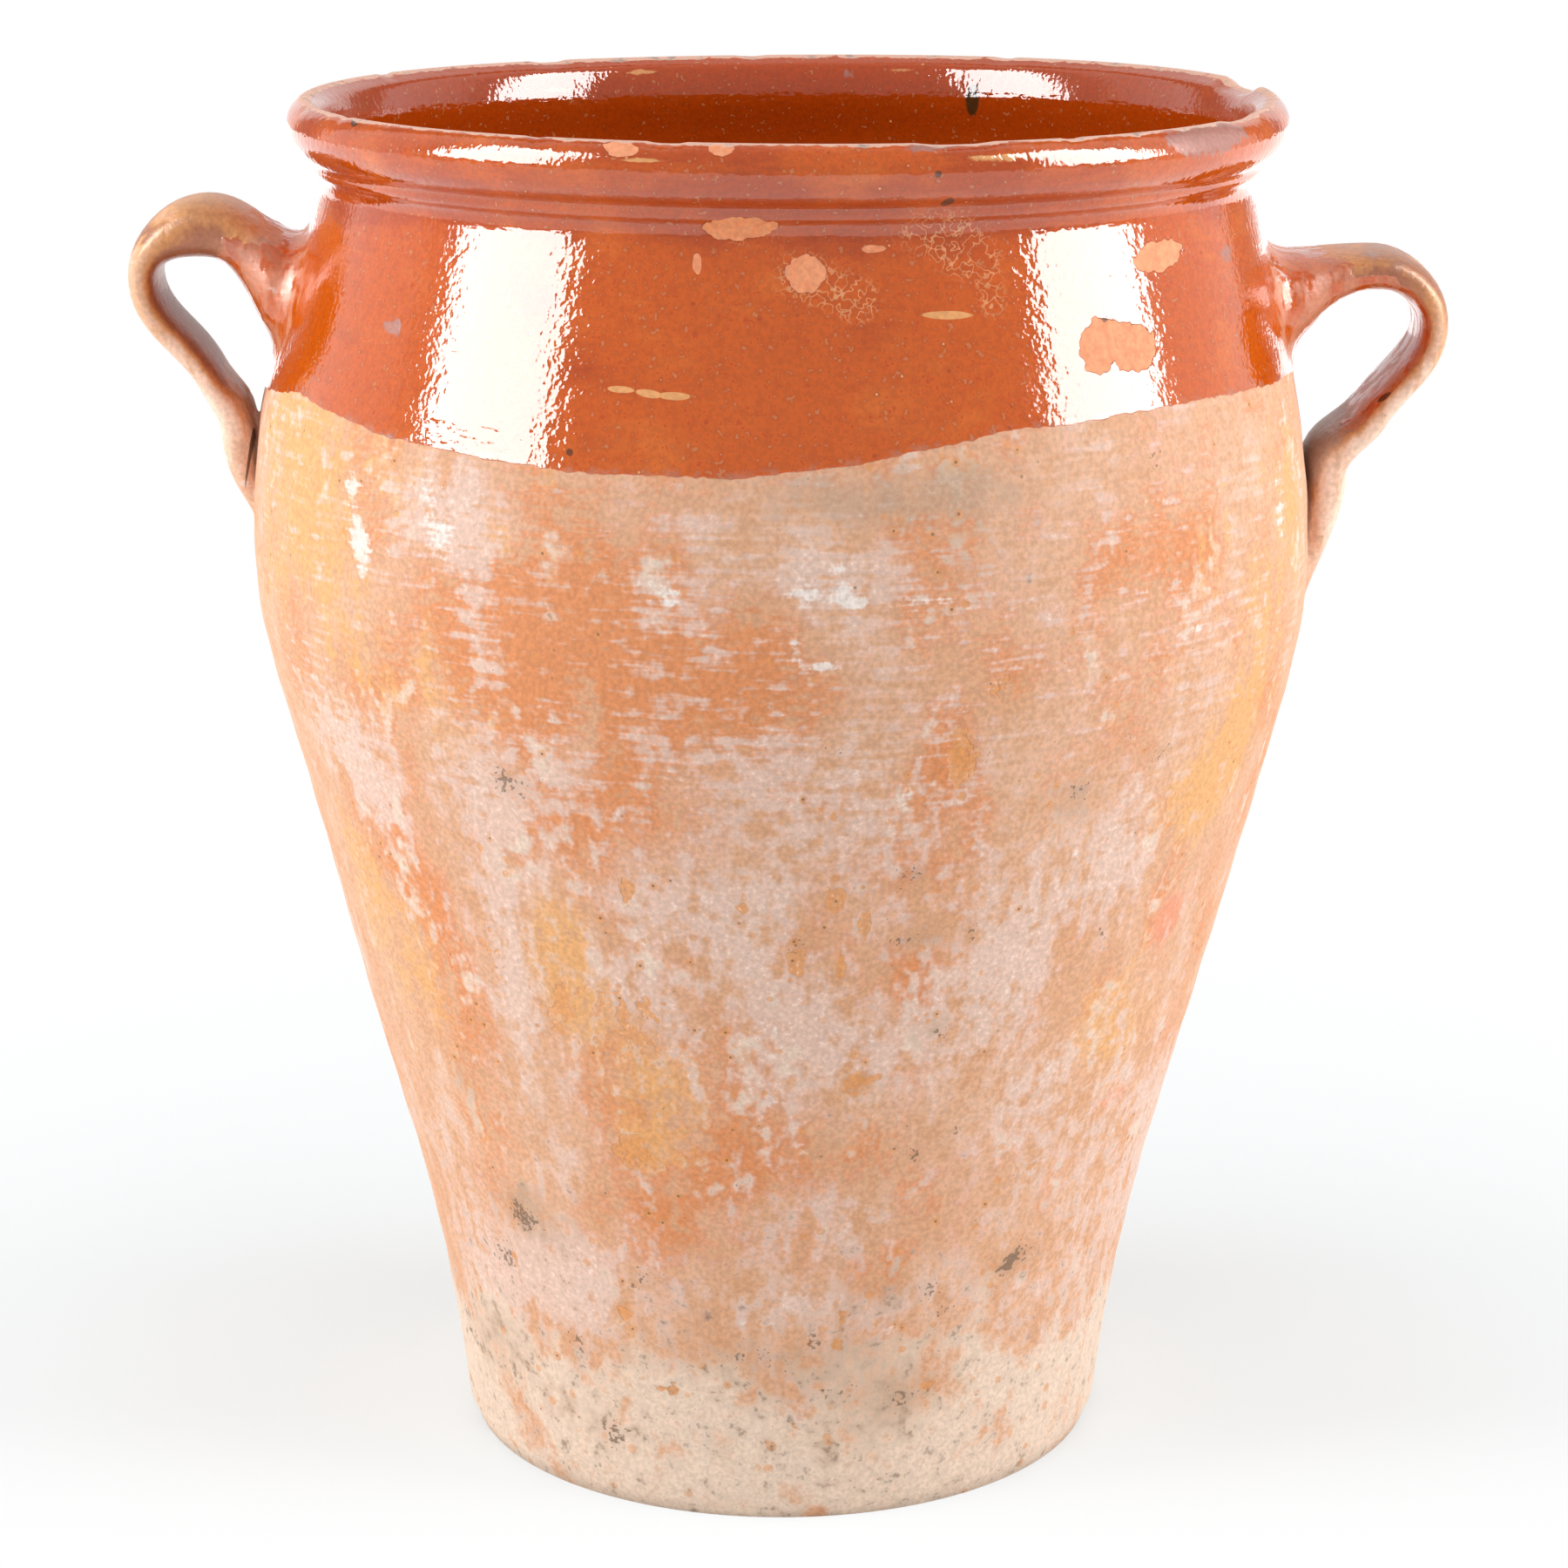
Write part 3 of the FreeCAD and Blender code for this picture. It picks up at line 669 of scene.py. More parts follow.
# %% The clouds and the marks
CLOUDS = {
    "orange": [
        (660, 790, 190, 110, 0.30), (590, 690, 110, 60, 0.18), (790, 760, 120, 90, 0.22),
        (1095, 885, 40, 85, 0.30), (1250, 640, 110, 60, 0.16), (640, 930, 120, 50, 0.16),
        (1170, 760, 60, 50, 0.20), (900, 830, 90, 60, 0.10), (1400, 640, 60, 90, 0.12),
        (760, 1240, 120, 90, 0.12), (850, 1340, 100, 60, 0.16), (760, 1420, 110, 50, 0.20),
        (1050, 1130, 50, 26, 0.25), (1370, 1150, 30, 90, 0.25), (380, 760, 60, 90, 0.12),
        (480, 1010, 50, 110, 0.16), (520, 1150, 40, 120, 0.16), (1020, 1450, 90, 40, 0.12),
    ],
    "ochre": [
        (345, 620, 60, 170, 0.34), (330, 480, 60, 60, 0.25), (440, 1060, 60, 150, 0.30),
        (630, 1080, 60, 90, 0.26), (700, 1170, 80, 90, 0.22), (760, 1260, 70, 70, 0.24),
        (740, 1325, 50, 30, 0.22), (1370, 920, 70, 80, 0.30), (1430, 830, 40, 110, 0.30),
        (1290, 1180, 90, 60, 0.22), (500, 780, 60, 120, 0.16), (960, 1080, 60, 60, 0.16),
        (1480, 560, 30, 120, 0.22), (1440, 620, 40, 100, 0.14), (420, 780, 50, 60, 0.12),
    ],
    "lime": [
        (515, 600, 46, 75, 0.30), (545, 700, 26, 90, 0.16), (620, 900, 90, 60, 0.16),
        (860, 880, 150, 50, 0.22), (560, 960, 50, 110, 0.22), (1020, 950, 130, 60, 0.20),
        (820, 1040, 110, 60, 0.24), (720, 1120, 40, 90, 0.16), (900, 1190, 80, 110, 0.26),
        (1130, 1130, 90, 90, 0.24), (1000, 1200, 90, 50, 0.16), (400, 850, 60, 60, 0.26),
        (430, 920, 40, 60, 0.20), (600, 1130, 40, 90, 0.20), (640, 1460, 70, 55, 0.42),
        (560, 1480, 40, 60, 0.20), (1330, 720, 70, 60, 0.16), (1260, 1010, 80, 80, 0.22),
        (1340, 1240, 60, 110, 0.26), (950, 1410, 90, 40, 0.18), (1200, 1240, 60, 60, 0.16),
        (990, 1500, 160, 26, 0.20), (830, 600, 160, 30, 0.10), (960, 660, 110, 26, 0.22),
        (760, 680, 40, 30, 0.20), (1330, 1400, 60, 90, 0.16),
    ],
    "grey": [
        (940, 575, 150, 36, 0.30), (1120, 560, 140, 40, 0.34), (1100, 650, 150, 60, 0.20),
        (1060, 1075, 52, 28, 0.40), (1060, 1005, 40, 28, 0.30), (1080, 1180, 40, 30, 0.34),
        (610, 1400, 50, 46, 0.40), (570, 1540, 60, 60, 0.26), (1165, 1445, 34, 22, 0.34),
        (1240, 915, 50, 34, 0.34), (960, 850, 60, 40, 0.16), (590, 905, 36, 20, 0.30),
        (1010, 1480, 70, 36, 0.24), (890, 1560, 180, 46, 0.22), (980, 1640, 90, 50, 0.22),
        (700, 1640, 60, 40, 0.20), (1040, 1600, 50, 30, 0.24), (1000, 1360, 60, 30, 0.10),
        (620, 1280, 60, 60, 0.14), (530, 1230, 26, 50, 0.24), (1260, 1070, 30, 26, 0.24),
    ],
    "rose": [
        (1340, 1055, 20, 34, 0.75), (1272, 1262, 22, 12, 0.45), (1335, 1190, 50, 90, 0.30),
        (1290, 1330, 60, 60, 0.22), (1360, 480, 90, 60, 0.10), (330, 900, 60, 120, 0.18),
        (1240, 1450, 60, 80, 0.20), (700, 1380, 90, 40, 0.10), (460, 1330, 60, 120, 0.14),
    ],
    "chalk": [
        (403, 560, 12, 34, 0.75), (411, 615, 10, 26, 0.80), (416, 652, 9, 20, 0.70),
        (440, 632, 40, 8, 0.70), (505, 615, 22, 34, 0.75), (490, 560, 14, 40, 0.55),
        (968, 683, 14, 11, 1.00), (985, 690, 10, 8, 0.90), (928, 682, 26, 11, 0.75),
        (915, 655, 46, 9, 0.70), (965, 652, 8, 10, 0.80), (870, 692, 60, 10, 0.55),
        (1060, 694, 80, 10, 0.60), (1180, 698, 60, 10, 0.55), (768, 690, 14, 16, 0.75),
        (745, 672, 34, 12, 0.55), (945, 765, 26, 9, 0.80), (915, 742, 9, 22, 0.70),
        (1130, 765, 16, 10, 0.70), (1105, 816, 14, 9, 0.70), (1300, 577, 34, 14, 0.45),
        (1340, 590, 30, 30, 0.35), (1375, 716, 10, 12, 0.70), (1325, 680, 30, 14, 0.45),
        (560, 546, 18, 9, 0.60), (670, 545, 44, 8, 0.60), (1040, 915, 14, 30, 0.60),
        (1236, 980, 10, 10, 0.60), (820, 930, 60, 20, 0.40), (700, 930, 50, 24, 0.35),
        (890, 1186, 34, 14, 0.60), (1002, 1190, 16, 20, 0.55), (890, 1262, 22, 12, 0.60),
        (925, 1322, 14, 16, 0.55), (845, 1158, 8, 6, 0.60), (860, 1518, 90, 9, 0.50),
        (1025, 1528, 18, 10, 0.55), (1240, 1400, 12, 16, 0.45), (1470, 580, 10, 60, 0.55),
        (660, 1465, 50, 34, 0.40), (1330, 740, 14, 60, 0.30), (1180, 1010, 60, 30, 0.30),
    ],
    "amber": [
        (957, 1033, 16, 20, 1.00), (916, 1105, 12, 28, 1.00), (964, 1114, 9, 28, 0.85),
        (992, 1060, 8, 36, 0.80), (853, 1040, 12, 20, 0.80), (985, 1243, 24, 16, 1.00),
        (958, 936, 16, 9, 0.80), (730, 1322, 34, 22, 0.85), (715, 1508, 14, 12, 1.00),
        (870, 1524, 9, 7, 0.80), (960, 1545, 9, 14, 0.75), (775, 1598, 9, 9, 0.70),
        (912, 1645, 11, 9, 0.90), (1138, 573, 20, 12, 0.60), (720, 1020, 18, 18, 0.70),
        (1005, 760, 13, 7, 0.90), (640, 1150, 34, 60, 0.60), (730, 1180, 50, 60, 0.60),
        (1330, 862, 30, 14, 0.50), (1105, 870, 24, 50, 0.75), (1150, 790, 20, 24, 0.55),
        (757, 1600, 8, 24, 0.65), (968, 1512, 12, 8, 0.80), (1062, 1590, 20, 8, 0.75),
        (560, 1080, 20, 60, 0.45), (1180, 1340, 14, 8, 0.55), (620, 720, 14, 16, 0.50),
    ],
    "soot": [
        (1168, 1441, 20, 12, 1.00), (1152, 1456, 12, 10, 0.80), (1064, 1480, 16, 8, 0.85),
        (1082, 1503, 14, 8, 0.80), (1048, 1326, 10, 8, 0.95), (1096, 1302, 9, 11, 0.75),
        (592, 1385, 12, 18, 0.75), (610, 1404, 20, 12, 0.85), (580, 1440, 16, 18, 0.80),
        (706, 1646, 18, 16, 0.85), (735, 1468, 22, 9, 0.85), (916, 1086, 10, 12, 1.00),
        (1331, 866, 22, 10, 0.80), (1296, 840, 9, 9, 0.90), (1042, 1006, 14, 14, 0.95),
        (1046, 1076, 34, 8, 0.75), (1114, 1070, 9, 26, 0.70), (662, 1538, 14, 12, 0.75),
        (577, 890, 14, 12, 0.85), (590, 905, 24, 16, 0.50), (1031, 574, 8, 6, 1.00),
        (1240, 908, 20, 16, 0.65), (543, 1530, 10, 14, 0.80), (1036, 1603, 20, 12, 0.80),
        (1080, 1190, 12, 16, 0.80), (960, 1600, 50, 14, 0.45), (870, 1560, 60, 20, 0.42),
        (450, 1230, 8, 26, 0.55), (1265, 1070, 9, 12, 0.70), (935, 1540, 12, 10, 0.75),
        (1320, 530, 12, 14, 0.60), (1380, 740, 30, 8, 0.45), (960, 860, 20, 8, 0.60),
    ],
    "slip": [
        (735, 184, 34, 4, 0.85), (1120, 182, 26, 5, 1.00), (1160, 179, 26, 6, 1.00),
        (735, 83, 28, 5, 0.90), (1032, 80, 28, 5, 0.90), (1097, 467, 9, 9, 0.80),
        (640, 103, 30, 5, 0.80), (1380, 163, 12, 5, 0.80),
    ],
    "crackle": [
        (985, 348, 34, 32, 0.90), (1075, 262, 70, 36, 0.75), (925, 318, 40, 36, 0.90),
        (1140, 350, 24, 28, 0.70), (848, 262, 56, 20, 0.80), (1330, 290, 44, 26, 0.80),
        (1120, 300, 40, 30, 0.55),
    ],
    "bruise": [
        (1390, 154, 44, 20, 1.40), (1408, 292, 9, 11, 0.90), (452, 376, 16, 16, 0.80),
        (975, 84, 9, 9, 0.80), (1070, 168, 36, 7, 0.90), (440, 500, 44, 9, 0.80),
        (1470, 300, 12, 20, 0.60),
    ],
    "drip": [(1116, 114, 8, 20, 1.00)],
    "specks": [
        (1462, 300, 18, 24, 0.90), (1478, 330, 16, 22, 0.90), (330, 330, 16, 12, 0.90),
        (300, 335, 22, 12, 0.90),
    ],
}
print("marks:", {kind: len(patches) for kind, patches in CLOUDS.items()})

# %% [markdown]
# A mark that is an oval in the photograph is wider on the jar where the wall turns away. So each one
# is laid on the surface behind its pixel, stretched by the slant, and reaches a little way inwards.

# %% Clouds on the clay
CLOUD_DEPTH = 12 * MM       # how far a cloud reaches through the surface
LENS_REACH = CAMERA_LENS / SENSOR * PHOTO_SIDE
MOST_SLANT = 0.25, 0.40     # limits of the stretch, sideways and upwards


def local_frame(across, down):
    """Place behind a pixel, sideways and upward directions there, and metres for one pixel each way."""
    place, normal = seen_at(across, down)
    sideways = Vector((0, 0, 1)).cross(normal).normalized()
    upwards = normal.cross(sideways)
    gaze = place - CAMERA_PLACE
    pixel = gaze.length / LENS_REACH
    gaze.normalize()
    wide, tall = [pixel / max(least, math.sqrt(max(0.0, 1 - gaze.dot(side) ** 2)))
                  for least, side in zip(MOST_SLANT, (sideways, upwards))]
    return place, normal, sideways, upwards, wide, tall


clouds = {}
for kind, patches in CLOUDS.items():
    field = np.zeros(len(points))
    for across, down, half_wide, half_tall, strength in patches:
        place, normal, sideways, upwards, wide, tall = local_frame(across, down)
        offset = points - np.array(place)
        deep = bell(offset @ np.array(normal), CLOUD_DEPTH + half_wide * wide)
        across_it = bell(offset @ np.array(sideways), half_wide * wide)
        field += strength * deep * across_it * bell(offset @ np.array(upwards), half_tall * tall)
    clouds[kind] = field
print("clouds:", {kind: round(float(field.max()), 2) for kind, field in clouds.items()})

# %% [markdown]
# The crest of the lip is worn through to the clay, in a band a few millimetres wide. The distance from
# it, the glaze, the film on the handles and the clouds are all kept on the mesh, one number a point.

# %% What the mesh carries for the material
LAND_IN, LAND_OUT = (136.6, 399.4), (139.0, 399.8)    # radius and height of the worn land, mm


def far_from_land():
    """Distance of every point from the worn land of the lip, in millimetres."""
    spot = np.stack([radius, height], 1) / MM
    start, finish = np.array(LAND_IN), np.array(LAND_OUT)
    run = finish - start
    share = np.clip((spot - start) @ run / (run @ run), 0, 1)
    return np.linalg.norm(spot - start - share[:, None] * run, axis=1)


def keep(name, values):
    """Write one number per point of the pot."""
    layer = pot.data.attributes.new(name, "FLOAT", "POINT")
    layer.data.foreach_set("value", np.asarray(values, dtype=np.float32))


carried = {
    "glaze": glaze, "film": film, "greyed": greyed, "strap": strap_share,
    "worn": 1.0 - far_from_land(), "inside": inside, "rise": points[:, 2],
    "across": points[:, 0], "back": points[:, 1] + inside, **clouds,
}
for name, values in carried.items():
    keep(name, values)
print("carried:", ", ".join(carried))

# %% [markdown]
# The finish is one material: fired clay, a thin lead glaze over its upper part, and the marks of use.
# It is built from noise in the object's own space, so it has no seam, and it is the same on every side.
# A small helper keeps the node building short.

# %% A helper for node trees
def new_material(name):
    """A material with an empty node tree, and its output node."""
    material = bpy.data.materials.new(name)
    material.use_nodes = True
    material.node_tree.nodes.clear()
    return material, material.node_tree.nodes.new("ShaderNodeOutputMaterial")


def is_socket(value):
    """True for the end of another node."""
    return isinstance(value, bpy.types.NodeSocket)


class Graph:
    """Builds a node tree. Every method gives back an output socket."""

    def __init__(self, tree, coordinates="Object"):
        self.tree = tree
        self.read = {}
        self.place = self.add("TexCoord", output=coordinates)

    def stretched(self, wide, tall):
        """Coordinates in which every pattern comes out that many times wider and taller."""
        return self.add("Mapping", {0: self.place, 3: (1 / wide, 1 / wide, 1 / tall)})

    def add(self, kind, inputs=None, output=0, **settings):
        """One node, with its settings, and each input set or linked."""
        node = self.tree.nodes.new("ShaderNode" + kind)
        for name, value in settings.items():
            setattr(node, name, value)
        for socket, value in (inputs or {}).items():
            if is_socket(value):
                self.tree.links.new(value, node.inputs[socket])
            else:
                node.inputs[socket].default_value = value
        return node.outputs[output]

    def math(self, operation, first, second=0.0, third=0.0):
        return self.add("Math", {0: first, 1: second, 2: third}, operation=operation)

    def sum(self, *values):
        """The sum of values. A pair is a value and its weight."""
        total = 0.0
        for value in values:
            if isinstance(value, tuple):
                total = self.math("MULTIPLY_ADD", *value, total)
            else:
                plain = not (is_socket(total) or is_socket(value))
                total = total + value if plain else self.math("ADD", value, total)
        return total

    def times(self, *values):
        total = values[0]
        for value in values[1:]:
            total = self.math("MULTIPLY", total, value)
        return total

    def most(self, *values):
        total = values[0]
        for value in values[1:]:
            total = self.math("MAXIMUM", total, value)
        return total

    def less(self, value):
        """One minus a value."""
        return self.math("SUBTRACT", 1.0, value)

    def step(self, value, low, high, start=0.0, finish=1.0):
        """A smooth step from start to finish while the value goes from low to high."""
        return self.add("MapRange", {"Value": value, "From Min": low, "From Max": high,
                                     "To Min": start, "To Max": finish},
                        interpolation_type="SMOOTHSTEP", clamp=False)

    def mix(self, share, first, second, blend="MIX"):
        """One colour over another."""
        return self.add("Mix", {0: share, 6: first, 7: second}, output=2, data_type="RGBA",
                        blend_type=blend)

    def blend(self, share, first, second):
        """One number over another."""
        return self.add("Mix", {0: share, 2: first, 3: second}, data_type="FLOAT")

    def noise(self, size, detail=2, rough=0.6, space=None):
        """Noise about one half, with lumps of a size in metres."""
        return self.add("TexNoise", {"Vector": space or self.place, "Scale": 1 / size,
                                     "Detail": detail, "Roughness": rough})

    def cells(self, size):
        """Distances in a scatter of cells of a size in metres."""
        return self.add("TexVoronoi", {"Vector": self.place, "Scale": 1 / size}, output="Distance")

    def kept(self, name):
        """A number that the mesh carries."""
        if name not in self.read:
            self.read[name] = self.add("Attribute", output="Fac", attribute_name=name)
        return self.read[name]


# %% [markdown]
# Flakes are too crisp for the mesh, so the material draws them itself. A flake is where the glaze
# sprang off the clay, in a shell shape with a sharp edge. Each is one oval, or a few that run together,
# on the surface behind a pixel of the photograph. Pits, cracks and the streaks where the red slip
# shows pale through the glaze are made alike.

# %% Single marks
FLAKES = [  # across, down, half width, half height, turn in degrees
    (848, 262, 38, 12, -2), (925, 314, 20, 18, 0), (1264, 396, 23, 27, 10), (1302, 400, 24, 24, -10),
    (1285, 390, 22, 17, 0), (1330, 294, 28, 15, -6), (800, 303, 5, 11, 0), (712, 171, 17, 7, 0),
    (828, 171, 13, 6, 0), (983, 163, 12, 4, 0),
]
PITS = [  # as the flakes
    (1088, 232, 8, 4, -24), (407, 140, 5, 5, 0), (1269, 362, 4.5, 7, 10), (654, 519, 4, 4, 0),
    (1499, 530, 2, 24, 6), (1589, 456, 10, 2.4, -40), (290, 505, 2, 54, 8), (1077, 200, 4, 4, 0),
]
STREAKS = [  # as the flakes
    (1088, 362, 26, 4, 3), (712, 447, 13, 3, 0), (745, 452, 12, 3.5, 8), (775, 455, 16, 3.5, 0),
]
BEHIND = 100.0              # pushes marks off the back and the inside
FRONT_PIXEL = MM / 3.95     # a pixel of the photograph on the front of the jar


def oval_mark(g, across, down, half_wide, half_tall, turn):
    """How far out of a mark a point is: nought in its middle, one on its outline, squared."""
    spot = seen_at(across, down)[0]
    wide, tall = half_wide * FRONT_PIXEL, half_tall * FRONT_PIXEL / math.cos(CAMERA_PITCH)
    cos, sin = math.cos(math.radians(turn)), math.sin(math.radians(turn))
    along = g.sum((sin * spot.z - cos * spot.x) / wide,
                  (g.kept("across"), cos / wide), (g.kept("rise"), -sin / wide))
    over = g.sum((-sin * spot.x - cos * spot.z) / tall,
                 (g.kept("across"), sin / tall), (g.kept("rise"), cos / tall))
    return g.math("MULTIPLY_ADD", over, over, g.math("MULTIPLY", along, along))


def marks_of(g, marks):
    """One in the middle of any of the marks, nought on its outline, and less outside it."""
    nearest = oval_mark(g, *marks[0])
    for mark in marks[1:]:
        nearest = g.math("MINIMUM", nearest, oval_mark(g, *mark))
    return g.less(g.sum(nearest, (g.step(g.kept("back"), -0.02, 0.0), BEHIND)))


# %% [markdown]
# These are the colours of the clay and of what lies on it, as bare earthenware shows them in daylight.

# %% Colours of the clay
BUFF = (0.660, 0.335, 0.180, 1)
BUFF_PINK = (0.745, 0.450, 0.310, 1)
ORANGE = (0.690, 0.235, 0.075, 1)
OCHRE = (0.765, 0.375, 0.130, 1)
LIME = (0.755, 0.530, 0.440, 1)
CHALK = (0.88, 0.82, 0.77, 1)
DAMP = (0.500, 0.315, 0.205, 1)
ROSE = (0.80, 0.27, 0.145, 1)
AMBER_CLAY = (0.705, 0.285, 0.080, 1)
SOOT_BLACK = (0.12, 0.062, 0.028, 1)
FOOT_CREAM = (0.790, 0.620, 0.490, 1)
HANDLE_TAN = (0.76, 0.41, 0.235, 1)
HANDLE_PALE = (0.97, 0.70, 0.55, 1)
print("buff clay:", BUFF[:3], "orange blush:", ORANGE[:3])

# %% [markdown]
# The bare clay fired to a warm buff. Over that lie an orange blush, ochre, a pale bloom of lime that
# has run down in streaks, grey damp stains, clusters of soot and amber patches where the skin came
# off. High up, the marks of the wheel run level; lower down, rain and washing drew them downwards.

# %% The bare clay
RUNS_LEVEL = (0.185, 0.265)  # heights between which the streaks turn from upright to level


def bare_clay(g, dots, grit):
    """Colour and relief in millimetres of the unglazed clay."""
    rise = g.kept("rise")
    sagged = g.stretched(1, 1.6)
    cloud = g.noise(0.040, 2, 0.6, sagged)
    patch = g.noise(0.014, 3, 0.64, sagged)
    other = g.noise(0.0197, 2, 0.64, sagged)
    fall = g.noise(0.0042, 2, 0.55, g.stretched(1, 6))
    band = g.noise(0.0016, 1, 0.5, g.stretched(10, 1))
    blot = g.noise(0.0048, 2, 0.55)
    run = g.blend(g.step(rise, *RUNS_LEVEL), fall, band)
    low = g.step(rise, 0.03, 0.17, 1.0, 0.0)

    tone = g.sum((patch, 0.5), (run, 0.35), (blot, 0.4))
    colour = g.mix(g.step(tone, 0.46, 0.78), BUFF, BUFF_PINK)
    blush = g.sum((cloud, 0.5), (other, 0.5), (run, 0.55), (patch, 0.4), (blot, 0.75),
                  (low, -0.06), g.kept("orange"))
    colour = g.mix(g.step(blush, 1.29, 1.56, 0.0, 0.92), colour, ORANGE)
    yellow = g.sum((g.noise(0.0515, 2, 0.6, sagged), 0.6), (fall, 0.55), (patch, 0.6),
                   (blot, 0.55), g.kept("ochre"))
    colour = g.mix(g.step(yellow, 1.26, 1.48, 0.0, 0.85), colour, OCHRE)
    red = g.sum(g.kept("rose"), (patch, 0.35), (run, 0.25))
    colour = g.mix(g.step(red, 0.50, 0.90, 0.0, 0.75), colour, ROSE)

    bloom = g.sum((g.noise(0.0305, 2, 0.64, sagged), 0.5), (run, 0.65), (patch, 0.45),
                  (blot, 0.80), (low, 0.05), g.kept("lime"))
    colour = g.mix(g.step(bloom, 1.21, 1.49, 0.0, 0.85), colour, LIME)
    cream = g.sum(g.step(rise, 0.026, 0.075, 0.34, 0.0), (other, 0.9), (patch, 0.5), (blot, 0.4))
    colour = g.mix(g.step(cream, 0.98, 1.22, 0.0, 0.85), colour, FOOT_CREAM)
    damp = g.sum(g.kept("grey"), (patch, 0.5), (blot, 0.6), (other, 0.3), (grit, 0.3), (low, 0.12))
    colour = g.mix(g.step(damp, 1.04, 1.36, 0.0, 0.75), colour, DAMP)

    amber = g.sum(g.kept("amber"), (blot, 1.5), (grit, 0.4))
    amber = g.step(amber, 1.42, 1.58)
    freckle = g.times(g.step(g.sum(dots, (low, -0.05)), 0.22, 0.17), g.step(other, 0.50, 0.58))
    colour = g.mix(g.most(g.times(amber, 0.8), g.times(freckle, 0.55)), colour, AMBER_CLAY)

    chalk = g.sum(g.kept("chalk"), (run, 0.8), (grit, 0.5), (blot, 0.4))
    chalk = g.step(chalk, 1.27, 1.60)
    crumbs = g.times(g.step(grit, 0.64, 0.74), g.step(bloom, 1.25, 1.5))
    colour = g.mix(g.most(g.times(chalk, 0.7), g.times(crumbs, 0.35)), colour, CHALK)

    soot = g.sum(g.kept("soot"), (grit, 2.4), (blot, 0.8), (low, 0.05))
    soot = g.step(soot, 2.20, 2.60)
    specks = g.times(g.step(dots, 0.085, 0.055), g.step(other, 0.46, 0.54))
    foot_dirt = g.sum((blot, 0.9), (grit, 0.6), (low, 0.14))
    foot_dirt = g.step(foot_dirt, 0.94, 1.22, 0.0, 0.60)
    dark = g.most(g.times(soot, 0.75), g.times(specks, 0.7), foot_dirt)
    colour = g.mix(dark, colour, SOOT_BLACK)

    relief = g.sum((grit, 0.13), (blot, 0.28), (run, 0.20), (amber, -0.22))
    return colour, relief


# %% [markdown]
# The glaze is a clear lead glaze over a red slip. It is nearly even in colour, with a fine grain and
# small dark and straw specks. It is darker from the hollow under the bead upwards, and inside
# the jar it is darkened further as painted shade. It is crazed in a net of pale lines round the places
# where it sprang.

# %% Colours of the glaze
GLAZE = (0.600, 0.098, 0.004, 1)
# Darker glaze, for the mottling and specks, and also laid over the inside of the jar as painted shade.
GLAZE_DEEP_AND_SHADE = (0.410, 0.048, 0.002, 1)
GLAZE_LIGHT = (0.66, 0.135, 0.012, 1)
SLIP = (0.84, 0.44, 0.17, 1)
CRAZE = (0.84, 0.46, 0.22, 1)
PEEL = (0.78, 0.250, 0.095, 1)
PEEL_PALE = (0.82, 0.300, 0.125, 1)
FRINGE = (0.46, 0.20, 0.135, 1)
BRUISE = (0.36, 0.19, 0.165, 1)
PIT_BLACK = (0.085, 0.030, 0.010, 1)
DUST = (0.76, 0.32, 0.13, 1)
DRIP_GREEN = (0.07, 0.030, 0.008, 1)
print("glaze:", GLAZE[:3], "clay where it sprang:", PEEL[:3])

# %% [markdown]
# Each thing on the glaze is a smooth step through a sum of noises, so its edge is soft and uneven.

